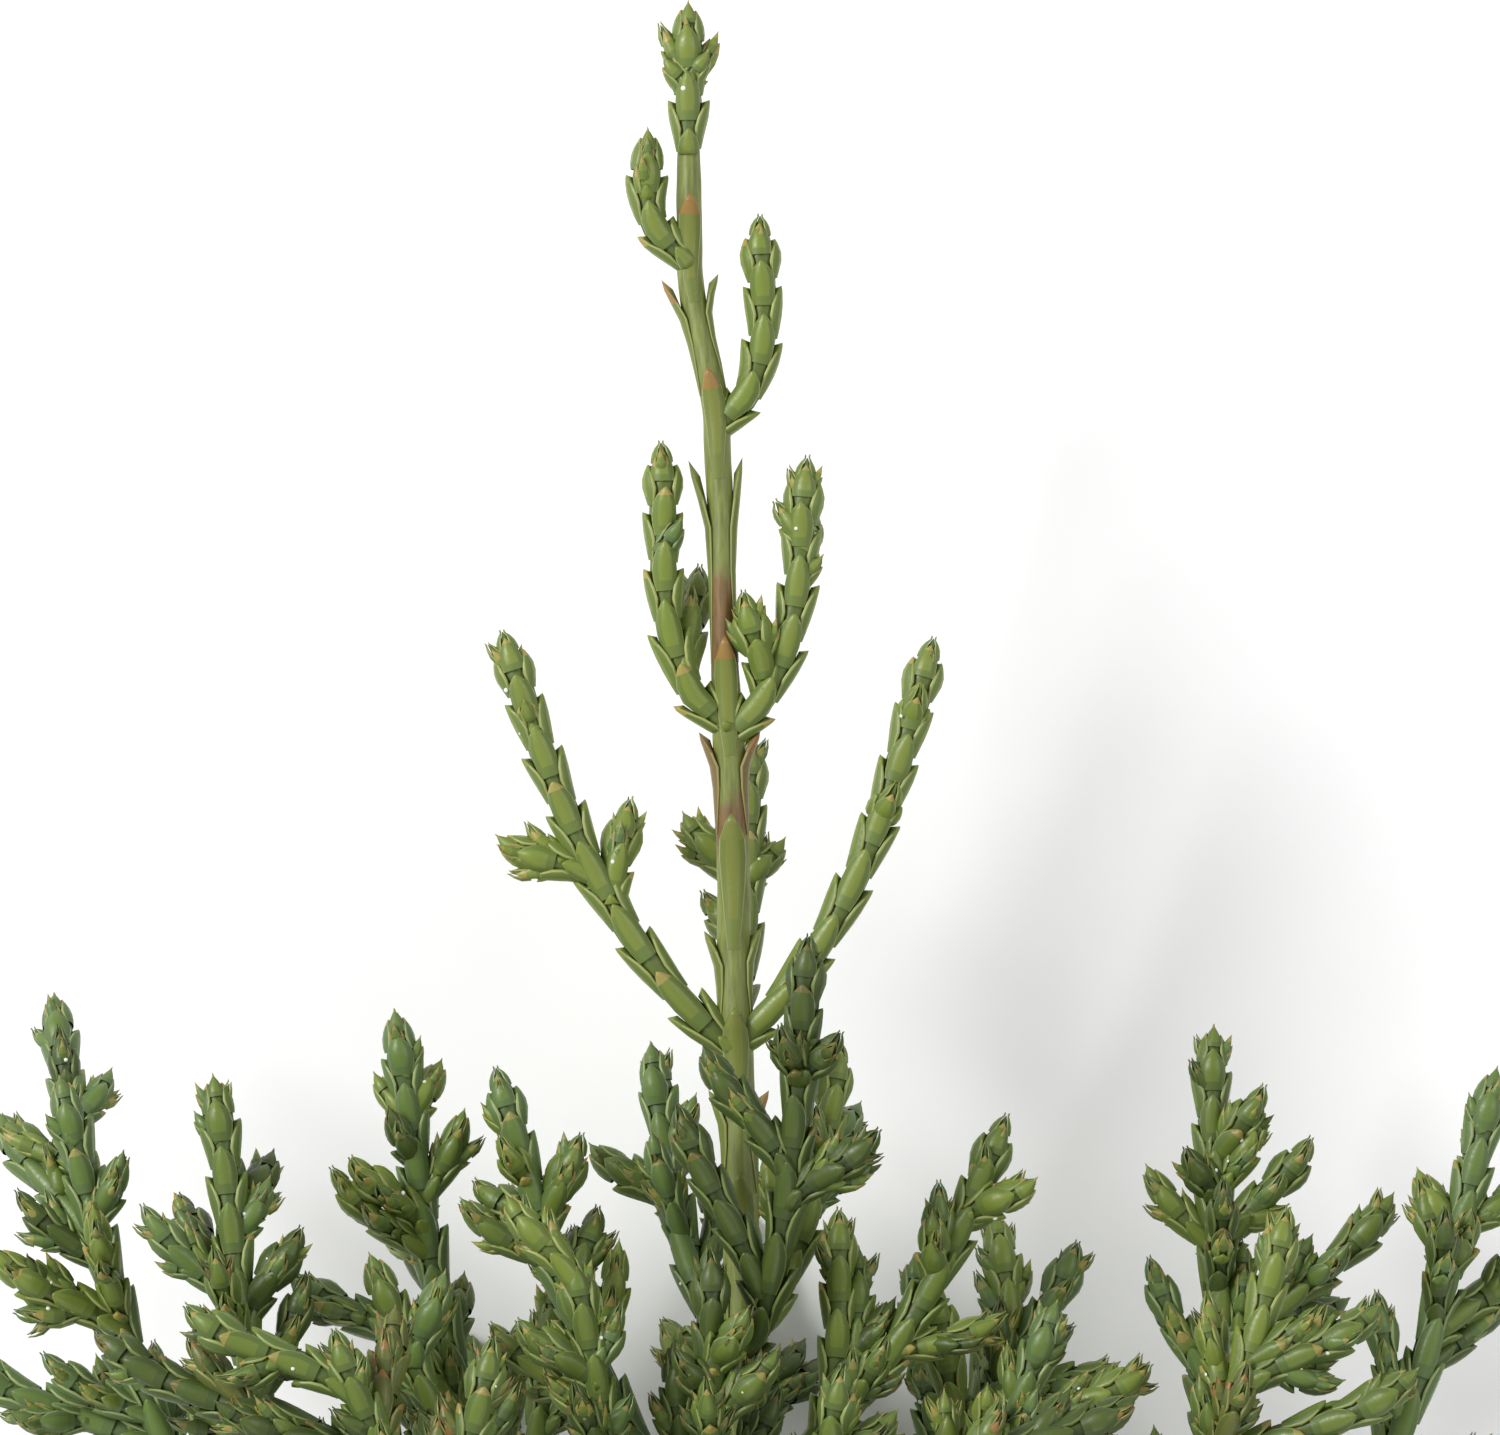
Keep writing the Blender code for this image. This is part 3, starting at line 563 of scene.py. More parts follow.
    def bud(self, twig: Twig, below: float, bearing: float, length: float) -> Twig | None:
        """Grows a small bud on a twig.

        Args:
            twig: The twig that carries it.
            below: How far below the twig's tip it leaves.
            bearing: Which way round the twig it leaves.
            length: How long it is.

        Returns:
            The bud, or nothing where it would reach the ground.
        """
        along = twig.direction(below)
        leaving = tilted(along, twig.around(below, bearing), self.bud_pitch)
        foot = twig.at(below)
        tip = foot + leaving * length + along * length * self.bud_rise
        share = self.bud_share * min(twig.radius / CORE_RADIUS + self.fuller_on_shoots, 1.0)
        bud = Twig(foot, leaving, tip, CORE_RADIUS * share, LEAF_REACH * share)
        return bud if tip.z - bud.reach > self.floor else None

    def buds(self, twig: Twig, chance: random.Random) -> list:
        """Grows the pair of buds below a tip, and another pair half way down a longer shoot.

        Args:
            twig: The twig that carries them.
            chance: The mass's own random numbers.

        Returns:
            The buds.
        """
        places = []
        if twig.length > self.shortest_with_buds:
            places.append((self.bud_below, self.bud_length))
        if self.shortest_with_side_buds < twig.length < self.longest_with_side_buds:
            length = min(twig.length * self.side_bud_share, self.longest_side_bud)
            places.append((twig.length * self.side_bud_place, length))
        found = []
        for below, length in places:
            first = chance.choice((0.0, 90.0)) + chance.uniform(-self.bud_sway, self.bud_sway)
            for side in (first, first + 180.0):
                where = below * chance.uniform(*self.bud_places)
                long = length * chance.uniform(*self.bud_lengths)
                found.append(self.bud(twig, where, side, long))
        return [bud for bud in found if bud is not None]

    def limb_shoots(self, name: str, limb: Twig, chance: random.Random) -> list:
        """Grows short leafy shoots along a bare limb, where free.

        Args:
            name: The limb's name.
            limb: The limb.
            chance: The limb's own random numbers.

        Returns:
            The shoots.
        """
        found = []
        below = self.first_limb_shoot
        turn = chance.randrange(len(SHOOT_BEARINGS))
        while below < limb.length - self.bare_foot:
            bearing = SHOOT_BEARINGS[turn % len(SHOOT_BEARINGS)]
            bearing += chance.uniform(-self.limb_shoot_sway, self.limb_shoot_sway)
            along = limb.direction(below)
            leaving = tilted(along, limb.around(below, bearing), SHOOT_PITCH)
            foot = limb.at(below)
            for length in self.limb_shoot_tries:
                reach = length * chance.uniform(*self.limb_shoot_lengths)
                tip = foot + leaving * reach + along * reach * self.limb_shoot_rise
                shoot = self.shoot(foot, leaving, tip)
                if tip.z - LEAF_REACH > self.floor and self.room.twig_free(name, shoot):
                    self.room.take_twig(name, shoot)
                    found.append(shoot)
                    break
            below += self.limb_shoot_gap * chance.uniform(*SHOOT_GAPS)
            turn += 1
        return found

    def grow(self) -> tuple:
        """Grows everything in the source's order, then the finer twigs.

        Returns:
            The boughs by name, and by mass or limb its axes, its side shoots and its buds.
        """
        heights = np.linspace(LEADER.cut, LEADER.top, LEADER_STRETCHES)
        for low, high in zip(heights, heights[1:]):
            start, end = LEADER.centre(low), LEADER.centre(high)
            self.room.take("leader", start, end, LEADER.radius(low))
        boughs = {bough.name: self.bough(bough) for bough in BOUGHS}
        for name, twig in boughs.items():
            self.room.take_twig(name, twig)
        axes = {spray.name: self.spray(spray, boughs) for spray in SPRAYS}
        for name, twigs in axes.items():
            for twig in twigs:
                self.room.take_twig(name, twig)
        grown = {}
        for index, spray in enumerate(SPRAYS):
            chance = random.Random(SEED + index)
            shoots = []
            if spray.bushy:
                for twig in axes[spray.name]:
                    shoots += self.side_shoots(spray.name, twig, chance)
            grown[spray.name] = (axes[spray.name], shoots)
        for index, (name, limb) in enumerate(boughs.items()):
            chance = random.Random(LOOKS_SEED + index)
            grown[name] = ([], self.limb_shoots(name, limb, chance))
        finished = {}
        for index, (name, (twigs, shoots)) in enumerate(grown.items()):
            chance = random.Random(BUD_SEED + index)
            buds = []
            for twig in twigs + shoots:
                buds += self.buds(twig, chance)
            finished[name] = (twigs, shoots, buds)
        return boughs, finished


@dataclass(frozen=True)
class Finish:
    """A plain base colour whose roughness and fine relief come from noise."""

    name: str
    colour: tuple
    roughness: float = 0.46
    grain_mm: float = 0.16
    relief_mm: float = 0.012
    smoother: float = 0.09
    rougher: float = 0.12
    gloss: float = 0.42
    detail: float = 3.0
    strength: float = 0.8
    noise_range: tuple = (0.3, 0.7)

    def material(self) -> bpy.types.Material:
        """Makes the material.

        Returns:
            A Principled material with plain colour, noisy roughness and bump.
        """
        material = bpy.data.materials.new(self.name)
        material.use_nodes = True
        nodes, links = material.node_tree.nodes, material.node_tree.links
        shader = nodes["Principled BSDF"]
        shader.inputs["Base Color"].default_value = (*self.colour, 1.0)
        shader.inputs["Specular IOR Level"].default_value = self.gloss
        place = nodes.new("ShaderNodeTexCoord")
        noise = nodes.new("ShaderNodeTexNoise")
        noise.inputs["Scale"].default_value = 1.0 / (self.grain_mm * MM)
        noise.inputs["Detail"].default_value = self.detail
        links.new(place.outputs["Object"], noise.inputs["Vector"])
        spread = nodes.new("ShaderNodeMapRange")
        spread.inputs["From Min"].default_value = self.noise_range[0]
        spread.inputs["From Max"].default_value = self.noise_range[1]
        spread.inputs["To Min"].default_value = self.roughness - self.smoother
        spread.inputs["To Max"].default_value = self.roughness + self.rougher
        links.new(noise.outputs["Fac"], spread.inputs["Value"])
        links.new(spread.outputs["Result"], shader.inputs["Roughness"])
        bump = nodes.new("ShaderNodeBump")
        bump.inputs["Strength"].default_value = self.strength
        bump.inputs["Distance"].default_value = self.relief_mm * MM
        links.new(noise.outputs["Fac"], bump.inputs["Height"])
        links.new(bump.outputs["Normal"], shader.inputs["Normal"])
        return material


@dataclass(frozen=True)
class Bark:
    """Bark that turns from green to red-brown over stretches of a limb, with fine streaks."""

    name: str
    green: tuple
    brown: tuple
    stretches: tuple
    blotch_scale: float = 600.0
    blotch_shift: float = 0.003
    fade: float = 0.0015
    streak_scales: tuple = (5200.0, 700.0, 5200.0)
    detail: float = 4.0
    noise_range: tuple = (0.3, 0.7)
    shades: tuple = (0.72, 1.22)
    roughness: float = 0.48
    relief_mm: float = 0.03

    def step(self, nodes: bpy.types.Nodes, links: bpy.types.NodeLinks, where: bpy.types.NodeSocket,
             edges: tuple, values: tuple) -> bpy.types.NodeSocket:
        """Adds a soft step in a value.

        Args:
            nodes: The material's nodes.
            links: Their links.
            where: The value.
            edges: Where the step starts and ends.
            values: What it goes from and to.

        Returns:
            The stepped value.
        """
        ramp = nodes.new("ShaderNodeMapRange")
        ramp.interpolation_type = "SMOOTHSTEP"
        for side, edge, value in zip(("Min", "Max"), edges, values):
            ramp.inputs[f"From {side}"].default_value = edge
            ramp.inputs[f"To {side}"].default_value = value
        links.new(where, ramp.inputs["Value"])
        return ramp.outputs["Result"]

    def joined(self, nodes: bpy.types.Nodes, links: bpy.types.NodeLinks, how: str,
               first: bpy.types.NodeSocket, second: bpy.types.NodeSocket) -> bpy.types.NodeSocket:
        """Joins two values.

        Args:
            nodes: The material's nodes.
            links: Their links.
            how: The operation.
            first: One value.
            second: The other value.

        Returns:
            The joined value.
        """
        both = nodes.new("ShaderNodeMath")
        both.operation = how
        links.new(first, both.inputs[0])
        links.new(second, both.inputs[1])
        return both.outputs["Value"]

    def material(self) -> bpy.types.Material:
        """Makes the material.

        Returns:
            A Principled material with brown stretches, streaks along the limb and relief.
        """
        material = bpy.data.materials.new(self.name)
        material.use_nodes = True
        nodes, links = material.node_tree.nodes, material.node_tree.links
        shader = nodes["Principled BSDF"]
        place = nodes.new("ShaderNodeTexCoord")
        split = nodes.new("ShaderNodeSeparateXYZ")
        links.new(place.outputs["Object"], split.inputs["Vector"])
        blotch = nodes.new("ShaderNodeTexNoise")
        blotch.inputs["Scale"].default_value = self.blotch_scale
        blotch.inputs["Detail"].default_value = self.detail
        links.new(place.outputs["Object"], blotch.inputs["Vector"])
        shift = nodes.new("ShaderNodeMath")
        shift.operation = "MULTIPLY_ADD"
        shift.inputs[1].default_value = self.blotch_shift
        links.new(blotch.outputs["Fac"], shift.inputs[0])
        links.new(split.outputs["Y"], shift.inputs[2])
        height = shift.outputs["Value"]
        browned = None
        for low, high in self.stretches:
            rise = self.step(nodes, links, height, (low, low + self.fade), (0.0, 1.0))
            fall = self.step(nodes, links, height, (high - self.fade, high), (1.0, 0.0))
            band = self.joined(nodes, links, "MULTIPLY", rise, fall)
            if browned is not None:
                band = self.joined(nodes, links, "MAXIMUM", browned, band)
            browned = band
        mix = nodes.new("ShaderNodeMix")
        mix.data_type = "RGBA"
        mix.inputs["A"].default_value = (*self.green, 1.0)
        mix.inputs["B"].default_value = (*self.brown, 1.0)
        links.new(browned, mix.inputs["Factor"])
        stretch = nodes.new("ShaderNodeMapping")
        stretch.inputs["Scale"].default_value = self.streak_scales
        streak = nodes.new("ShaderNodeTexNoise")
        streak.inputs["Scale"].default_value = 1.0
        streak.inputs["Detail"].default_value = self.detail
        links.new(place.outputs["Object"], stretch.inputs["Vector"])
        links.new(stretch.outputs["Vector"], streak.inputs["Vector"])
        shade = nodes.new("ShaderNodeMapRange")
        for side, edge, value in zip(("Min", "Max"), self.noise_range, self.shades):
            shade.inputs[f"From {side}"].default_value = edge
            shade.inputs[f"To {side}"].default_value = value
        links.new(streak.outputs["Fac"], shade.inputs["Value"])
        tint = nodes.new("ShaderNodeVectorMath")
        tint.operation = "SCALE"
        links.new(mix.outputs["Result"], tint.inputs[0])
        links.new(shade.outputs["Result"], tint.inputs["Scale"])
        links.new(tint.outputs["Vector"], shader.inputs["Base Color"])
        shader.inputs["Roughness"].default_value = self.roughness
        bump = nodes.new("ShaderNodeBump")
        bump.inputs["Distance"].default_value = self.relief_mm * MM
        links.new(streak.outputs["Fac"], bump.inputs["Height"])
        links.new(bump.outputs["Normal"], shader.inputs["Normal"])
        return material


class Part(Enum):
    """The coloured parts of a scale leaf, as offsets into a tone's slots."""

    BODY = 0
    # The lighter strip along the leaf's ridge: a painted highlight, not a colour of its own
    KEEL_HIGHLIGHT = 1
    MARGIN = 2
    TIP = 3


# How the leaves' colours are warmed (red, green, blue), how much paler their margins are, and to
# how many places they are kept
WARMER = (1.0, 1.02, 0.78)
PALER_MARGIN = 1.05
COLOUR_PLACES = 3


class Tone(Enum):
    """The tones dealt out to shoots: how light one is, then body, keel highlight, margin and tip.
    """

    # Each keel colour is a lighter, yellower strip painted as a highlight along the leaves' ridges
    OLD = (0.72, (0.062, 0.096, 0.022), (0.088, 0.13, 0.026),
           (0.19, 0.24, 0.085), (0.17, 0.15, 0.045))
    GROWN = (0.8, (0.105, 0.157, 0.038), (0.15, 0.21, 0.042),
             (0.29, 0.34, 0.14), (0.33, 0.27, 0.09))
    BLUE = (0.8, (0.112, 0.178, 0.068), (0.14, 0.215, 0.06),
            (0.31, 0.37, 0.19), (0.3, 0.28, 0.1))
    FRESH = (0.74, (0.165, 0.228, 0.05), (0.225, 0.29, 0.055),
             (0.38, 0.42, 0.17), (0.42, 0.34, 0.11))
    YOUNG = (0.66, (0.19, 0.262, 0.072), (0.265, 0.33, 0.075),
             (0.42, 0.46, 0.2), (0.48, 0.4, 0.14))
    RUSTY = (0.78, (0.11, 0.132, 0.036), (0.15, 0.165, 0.04),
             (0.28, 0.29, 0.11), (0.3, 0.16, 0.055))
    STEM = (0.68, (0.2, 0.25, 0.06), (0.25, 0.28, 0.07),
            (0.38, 0.39, 0.18), (0.4, 0.23, 0.08))
    RUDDY = (0.72, (0.23, 0.165, 0.064), (0.25, 0.16, 0.07),
             (0.37, 0.3, 0.16), (0.33, 0.16, 0.07))

    def colour(self, part: Part) -> tuple:
        """Works out the colour of one part of this tone's leaves.

        Args:
            part: The part.

        Returns:
            The colour, darkened to the tone's own light and warmed, with margins a little paler.
        """
        light, *colours = self.value
        if part is Part.MARGIN:
            light *= PALER_MARGIN
        return tuple(round(value * light * hue, COLOUR_PLACES)
                     for value, hue in zip(colours[part.value], WARMER))

    def first_slot(self) -> int:
        """The number of this tone's first slot."""
        return list(Tone).index(self) * len(Part)


BODY_ROUGHNESS = 0.5
EDGE_ROUGHNESS = 0.4
TWIG_SHADE = 0.8


def leaf_materials() -> list:
    """Makes the materials of all tones.

    Returns:
        Body, painted keel highlight, margin and tip of each tone in turn.
    """
    made = []
    for tone in Tone:
        for part in Part:
            rough = BODY_ROUGHNESS if part is Part.BODY else EDGE_ROUGHNESS
            name = f"{tone.name.lower()} leaf {part.name.lower()}"
            made.append(Finish(name, tone.colour(part), rough).material())
    return made


def twig_materials() -> list:
    """Makes the materials of the green twigs.

    Returns:
        One material for each tone, a little darker than its leaves.
    """
    return [Finish(f"{tone.name.lower()} twig",
                   tuple(TWIG_SHADE * value for value in tone.colour(Part.BODY))).material()
            for tone in Tone]


# The lowest that a corner of the looks lies, in metres: just clear of the ground
LOWEST = 0.00002


class PieceMesh:
    """Gathers the corners, faces and slots of many small forms into one piece."""

    def __init__(self) -> None:
        """Starts empty."""
        self.corners: list = []
        self.quads: list = []
        self.quad_slots: list = []
        self.threes: list = []
        self.three_slots: list = []
        self.count = 0

    def add(self, corners: np.ndarray, quads: np.ndarray, quad_slots: np.ndarray,
            threes: np.ndarray, three_slots: np.ndarray) -> None:
        """Adds a form, whose faces count its own corners from 0.

        Args:
            corners: Its corners, in millimetres in the growing frame.
            quads: Its four-cornered faces.
            quad_slots: Their slots.
            threes: Its three-cornered faces.
            three_slots: Their slots.
        """
        self.corners.append(corners.reshape(-1, 3))
        self.quads.append(quads.reshape(-1, 4) + self.count)
        self.quad_slots.append(quad_slots.ravel())
        self.threes.append(threes.reshape(-1, 3) + self.count)
        self.three_slots.append(three_slots.ravel())
        self.count += len(self.corners[-1])

    def piece(self, name: str, place: np.ndarray, materials: list) -> bpy.types.Object:
        """Makes the mesh and lays it in the frame, with nothing lower than the ground.

        Args:
            name: The piece's name.
            place: Where the growing frame's origin lies, in metres.
            materials: The materials, in slot order. Those with no face are left out.

        Returns:
            The object, smooth shaded.
        """
        corners = np.concatenate(self.corners) * MM + place
        corners[:, 2] = np.maximum(corners[:, 2], LOWEST)
        quads, threes = np.concatenate(self.quads), np.concatenate(self.threes)
        slots = np.concatenate(self.quad_slots + self.three_slots).astype(np.int32)
        used = sorted(set(slots.tolist()))
        renumber = np.zeros(max(used) + 1, dtype=np.int32)
        renumber[used] = np.arange(len(used))
        mesh = bpy.data.meshes.new(name)
        mesh.vertices.add(len(corners))
        mesh.vertices.foreach_set("co", corners.ravel())
        loops = np.concatenate([quads.ravel(), threes.ravel()]).astype(np.int32)
        mesh.loops.add(len(loops))
        mesh.loops.foreach_set("vertex_index", loops)
        starts = np.concatenate([np.arange(len(quads)) * 4,
                                 len(quads) * 4 + np.arange(len(threes)) * 3])
        mesh.polygons.add(len(starts))
        mesh.polygons.foreach_set("loop_start", starts.astype(np.int32))
        mesh.polygons.foreach_set("material_index", renumber[slots])
        mesh.polygons.foreach_set("use_smooth", np.ones(len(starts), dtype=bool))
        for slot in used:
            mesh.materials.append(materials[slot])
        mesh.update(calc_edges=True)
        mesh.validate()
        made = bpy.data.objects.new(name, mesh)
        bpy.context.scene.collection.objects.link(made)
        log.info("%s: %d triangles", name, len(quads) * 2 + len(threes))
        return made


class Path:
    """A drawn centre line with frames, measured in millimetres below its tip."""

    bud_length = 2.3
    bud_curve = 0.68
    bud_point = 0.03
    plumpest = 1.9
    plump_reach = 0.9
    plump_share = 0.16
    foot_length = 1.7
    foot_share = 0.84

    def __init__(self, points: np.ndarray, radius: float,
                 limb_radii: np.ndarray | None = None) -> None:
        """Measures the line and carries a front along it.

        Args:
            points: The line's points, from its foot to its tip.
            radius: A leafy twig's core radius.
            limb_radii: A limb's radius at each point, in place of a twig's rounded tip.
        """
        steps = np.diff(points, axis=0)
        lengths = np.linalg.norm(steps, axis=1)
        self.length = float(lengths.sum())
        along = steps / lengths[:, None]
        along = np.concatenate([along[:1], (along[1:] + along[:-1]) / 2.0, along[-1:]])
        self.along = along / np.linalg.norm(along, axis=1)[:, None]
        view = np.array(VIEWER if abs(self.along[0, 2]) < END_ON else DOWN_THE_STEM)
        fronts = []
        for way in self.along:
            view = view - way * view.dot(way)
            view = view / np.linalg.norm(view)
            fronts.append(view)
        self.fronts = np.array(fronts)
        self.points = points
        self.below = self.length - np.concatenate([[0.0], np.cumsum(lengths)])
        self.radius = radius
        self.limb_radii = limb_radii

    def core(self, below: np.ndarray) -> np.ndarray:
        """Reads the core's radius.

        Args:
            below: Distances below the tip.

        Returns:
            The radius there, rounded in to the tip on a twig and a little slimmer at its foot.
        """
        if self.limb_radii is not None:
            return np.interp(below, self.below[::-1], self.limb_radii[::-1])
        bud = np.clip(below / self.bud_length, 0.0, 1.0)
        bud = np.maximum((1.0 - (1.0 - bud) ** 2) ** self.bud_curve, self.bud_point)
        plump = np.exp(-(((below - self.plumpest) / self.plump_reach) ** 2))
        foot = np.clip((self.length - below) / self.foot_length, 0.0, 1.0)
        foot = self.foot_share + (1.0 - self.foot_share) * foot
        return self.radius * bud * (1.0 + self.plump_share * plump) * foot

    def read(self, values: np.ndarray, below: np.ndarray) -> np.ndarray:
        """Reads a value that each point of the line has.

        Args:
            values: The value at each point, with three parts.
            below: Distances below the tip.

        Returns:
            The values there.
        """
        parts = [np.interp(below, self.below[::-1], values[::-1, axis]) for axis in range(3)]
        return np.stack(parts, -1)

    def frames(self, below: np.ndarray) -> tuple:
        """Reads the line's frames.

        Args:
            below: Distances below the tip. Those under 0 run on past it.

        Returns:
            Points, directions, sides and fronts.
        """
        along = self.read(self.along, below)
        along /= np.linalg.norm(along, axis=-1)[..., None]
        front = self.read(self.fronts, below)
        front -= along * (front * along).sum(axis=-1)[..., None]
        front /= np.linalg.norm(front, axis=-1)[..., None]
        points = self.read(self.points, below) + along * np.maximum(-below, 0.0)[..., None]
        return points, along, np.cross(along, front), front


TWIG_STEP = 0.4
FEWEST_TWIG_STEPS = 8
CORE_SHARE = 0.93


def twig_path(twig: Twig) -> Path:
    """Draws a twig's curve finely, from the limb that it grows on.

    Args:
        twig: The twig.

    Returns:
        Its drawn centre line.
    """
    count = max(FEWEST_TWIG_STEPS, round(twig.length / TWIG_STEP)) + 1
    points = [tuple(point) for point in interpolate_bezier(*twig.handles, count)]
    if twig.root is not None:
        points = [tuple(twig.root)] + points
    return Path(np.array(points), twig.radius * CORE_SHARE)


@dataclass(frozen=True)
class LeafForm:
    """How a scale leaf hugs its twig, in sections from its root to its pointed tip."""

    along: tuple
    wrap: tuple
    bulge: tuple
    lift: tuple
    across: tuple
    back: tuple
    edge_mm: float = 0.035
    thinnest: float = 0.12
    under: float = 0.7
    under_lift: float = 0.85

    def faces(self) -> tuple:
        """Numbers the faces of one leaf.

        Returns:
            The quads, their parts, the three-cornered faces at the tip and their parts.
        """
        sections, strips = len(self.along) - 1, len(self.across)
        ring = strips + 1
        quads, quad_parts = [], []
        for section in range(sections - 1):
            for strip in range(ring):
                after = (strip + 1) % ring
                here, there = section * ring, (section + 1) * ring
                quads.append((here + strip, there + strip, there + after, here + after))
                # The middle strips along the ridge take the keel colour, a lighter strip painted as
                # a highlight
                part = Part.BODY
                if strip in (0, strips - 2):
                    part = Part.MARGIN
                elif strip in (strips // 2 - 1, strips // 2) and section > 0:
                    part = Part.KEEL_HIGHLIGHT
                if section == sections - 2 and strip < strips - 1:
                    part = Part.TIP
                quad_parts.append(part.value)
        last, tip = (sections - 1) * ring, sections * ring
        threes = [(last + strip, tip, last + (strip + 1) % ring) for strip in range(ring)]
        return (np.array(quads), np.array(quad_parts), np.array(threes),
                np.full(len(threes), Part.TIP.value))

    def dealt(self, parts: np.ndarray, slots: np.ndarray, tipped: np.ndarray) -> np.ndarray:
        """Deals slots to the faces of leaves.

        Args:
            parts: The part that each face of a leaf belongs to.
            slots: The first slot of each leaf's tone.
            tipped: Whether each leaf shows its tone's tip colour.

        Returns:
            The slots, leaf by leaf.
        """
        # Untipped leaves also show the painted keel highlight on their tip faces
        plain = np.where(parts == Part.TIP.value, Part.KEEL_HIGHLIGHT.value, parts)
        return slots[:, None] + np.where(tipped[:, None], parts[None, :], plain[None, :])

    def clothe(self, gathered: PieceMesh, path: Path, tips: np.ndarray, lengths: np.ndarray,
               bearings: np.ndarray, stands: np.ndarray, slots: np.ndarray,
               tipped: np.ndarray) -> None:
        """Sets leaves on a line.

        Args:
            gathered: The mesh that they join.
            path: The line.
            tips: How far each leaf's tip is below the line's tip.
            lengths: How long each leaf is.
            bearings: Which way round the line it stands, in degrees.
            stands: How far its tip stands off, in millimetres.
            slots: The first slot of its tone.
            tipped: Whether it shows its tone's tip colour.
        """
        shares = np.array(self.along)
        below = tips[:, None] + lengths[:, None] * (1.0 - shares)[None, :]
        points, _, side, front = path.frames(below)
        core = path.core(np.maximum(below, 0.0))
        body = np.maximum(core, path.radius * self.thinnest)[:, :, None]
        wrap = np.radians(np.array((*self.wrap, 0.0)))[None, :, None]
        lift = (np.array(self.lift)[None, :] * stands[:, None])[:, :, None]
        bulge = np.array(self.bulge)[None, :, None] * np.array(self.back)[None, None, :]
        turn = np.radians(bearings)[:, None, None] + wrap * np.array(self.across)[None, None, :]
        out = body * (1.0 + bulge) + lift + self.edge_mm
        spots = points[:, :, None, :] + out[..., None] * (
            np.cos(turn)[..., None] * side[:, :, None, :]
            + np.sin(turn)[..., None] * front[:, :, None, :])
        straight = np.radians(bearings)[:, None, None]
        inward = body * self.under + lift * self.under_lift
        under = points + inward * (np.cos(straight) * side + np.sin(straight) * front)
        rings = np.concatenate([spots, under[:, :, None, :]], axis=2)[:, :-1]
        middle = len(self.across) // 2
        points_out = spots[:, -1, middle][:, None, :]
        corners = np.concatenate([rings.reshape(len(tips), -1, 3), points_out], axis=1)
        quads, quad_parts, threes, three_parts = self.faces()
        start = (np.arange(len(tips)) * corners.shape[1])[:, None, None]
        gathered.add(corners, quads[None] + start, self.dealt(quad_parts, slots, tipped),
                     threes[None] + start, self.dealt(three_parts, slots, tipped))


FULL_LEAF = LeafForm(
    along=(0.0, 0.2, 0.42, 0.64, 0.82, 0.94, 1.0), wrap=(46.0, 56.0, 60.0, 50.0, 31.0, 13.0),
    bulge=(0.02, 0.14, 0.26, 0.32, 0.3, 0.26, 0.2), lift=(0.0, 0.0, 0.08, 0.3, 0.62, 0.88, 1.0),
    across=(-1.0, -0.84, -0.42, 0.0, 0.42, 0.84, 1.0), back=(0.0, 0.4, 0.84, 1.08, 0.84, 0.4, 0.0))
SMALL_LEAF = LeafForm(
    along=(0.0, 0.35, 0.66, 0.9, 1.0), wrap=(50.0, 62.0, 48.0, 20.0),
    bulge=(0.04, 0.24, 0.32, 0.27, 0.2), lift=(0.0, 0.04, 0.35, 0.8, 1.0),
    across=(-1.0, -0.78, 0.0, 0.78, 1.0), back=(0.0, 0.5, 1.08, 0.5, 0.0))
STEM_LEAF = LeafForm(
    along=(0.0, 0.22, 0.45, 0.66, 0.8, 0.92, 1.0), wrap=(22.0, 34.0, 46.0, 50.0, 36.0, 15.0),
    bulge=(0.0, 0.05, 0.09, 0.14, 0.2, 0.2, 0.15), lift=(0.0, 0.0, 0.0, 0.12, 0.45, 0.82, 1.0),
    across=(-1.0, -0.84, -0.42, 0.0, 0.42, 0.84, 1.0), back=(0.0, 0.4, 0.84, 1.06, 0.84, 0.4, 0.0))


# Waves round a limb: how strong, how many round it and how they turn with each millimetre
WRINKLES = ((0.62, 4.0, 0.0), (0.2, 9.0, 0.9), (0.18, 5.0, -2.3), (0.16, 13.0, 4.1))


FEWEST_RINGS = 3


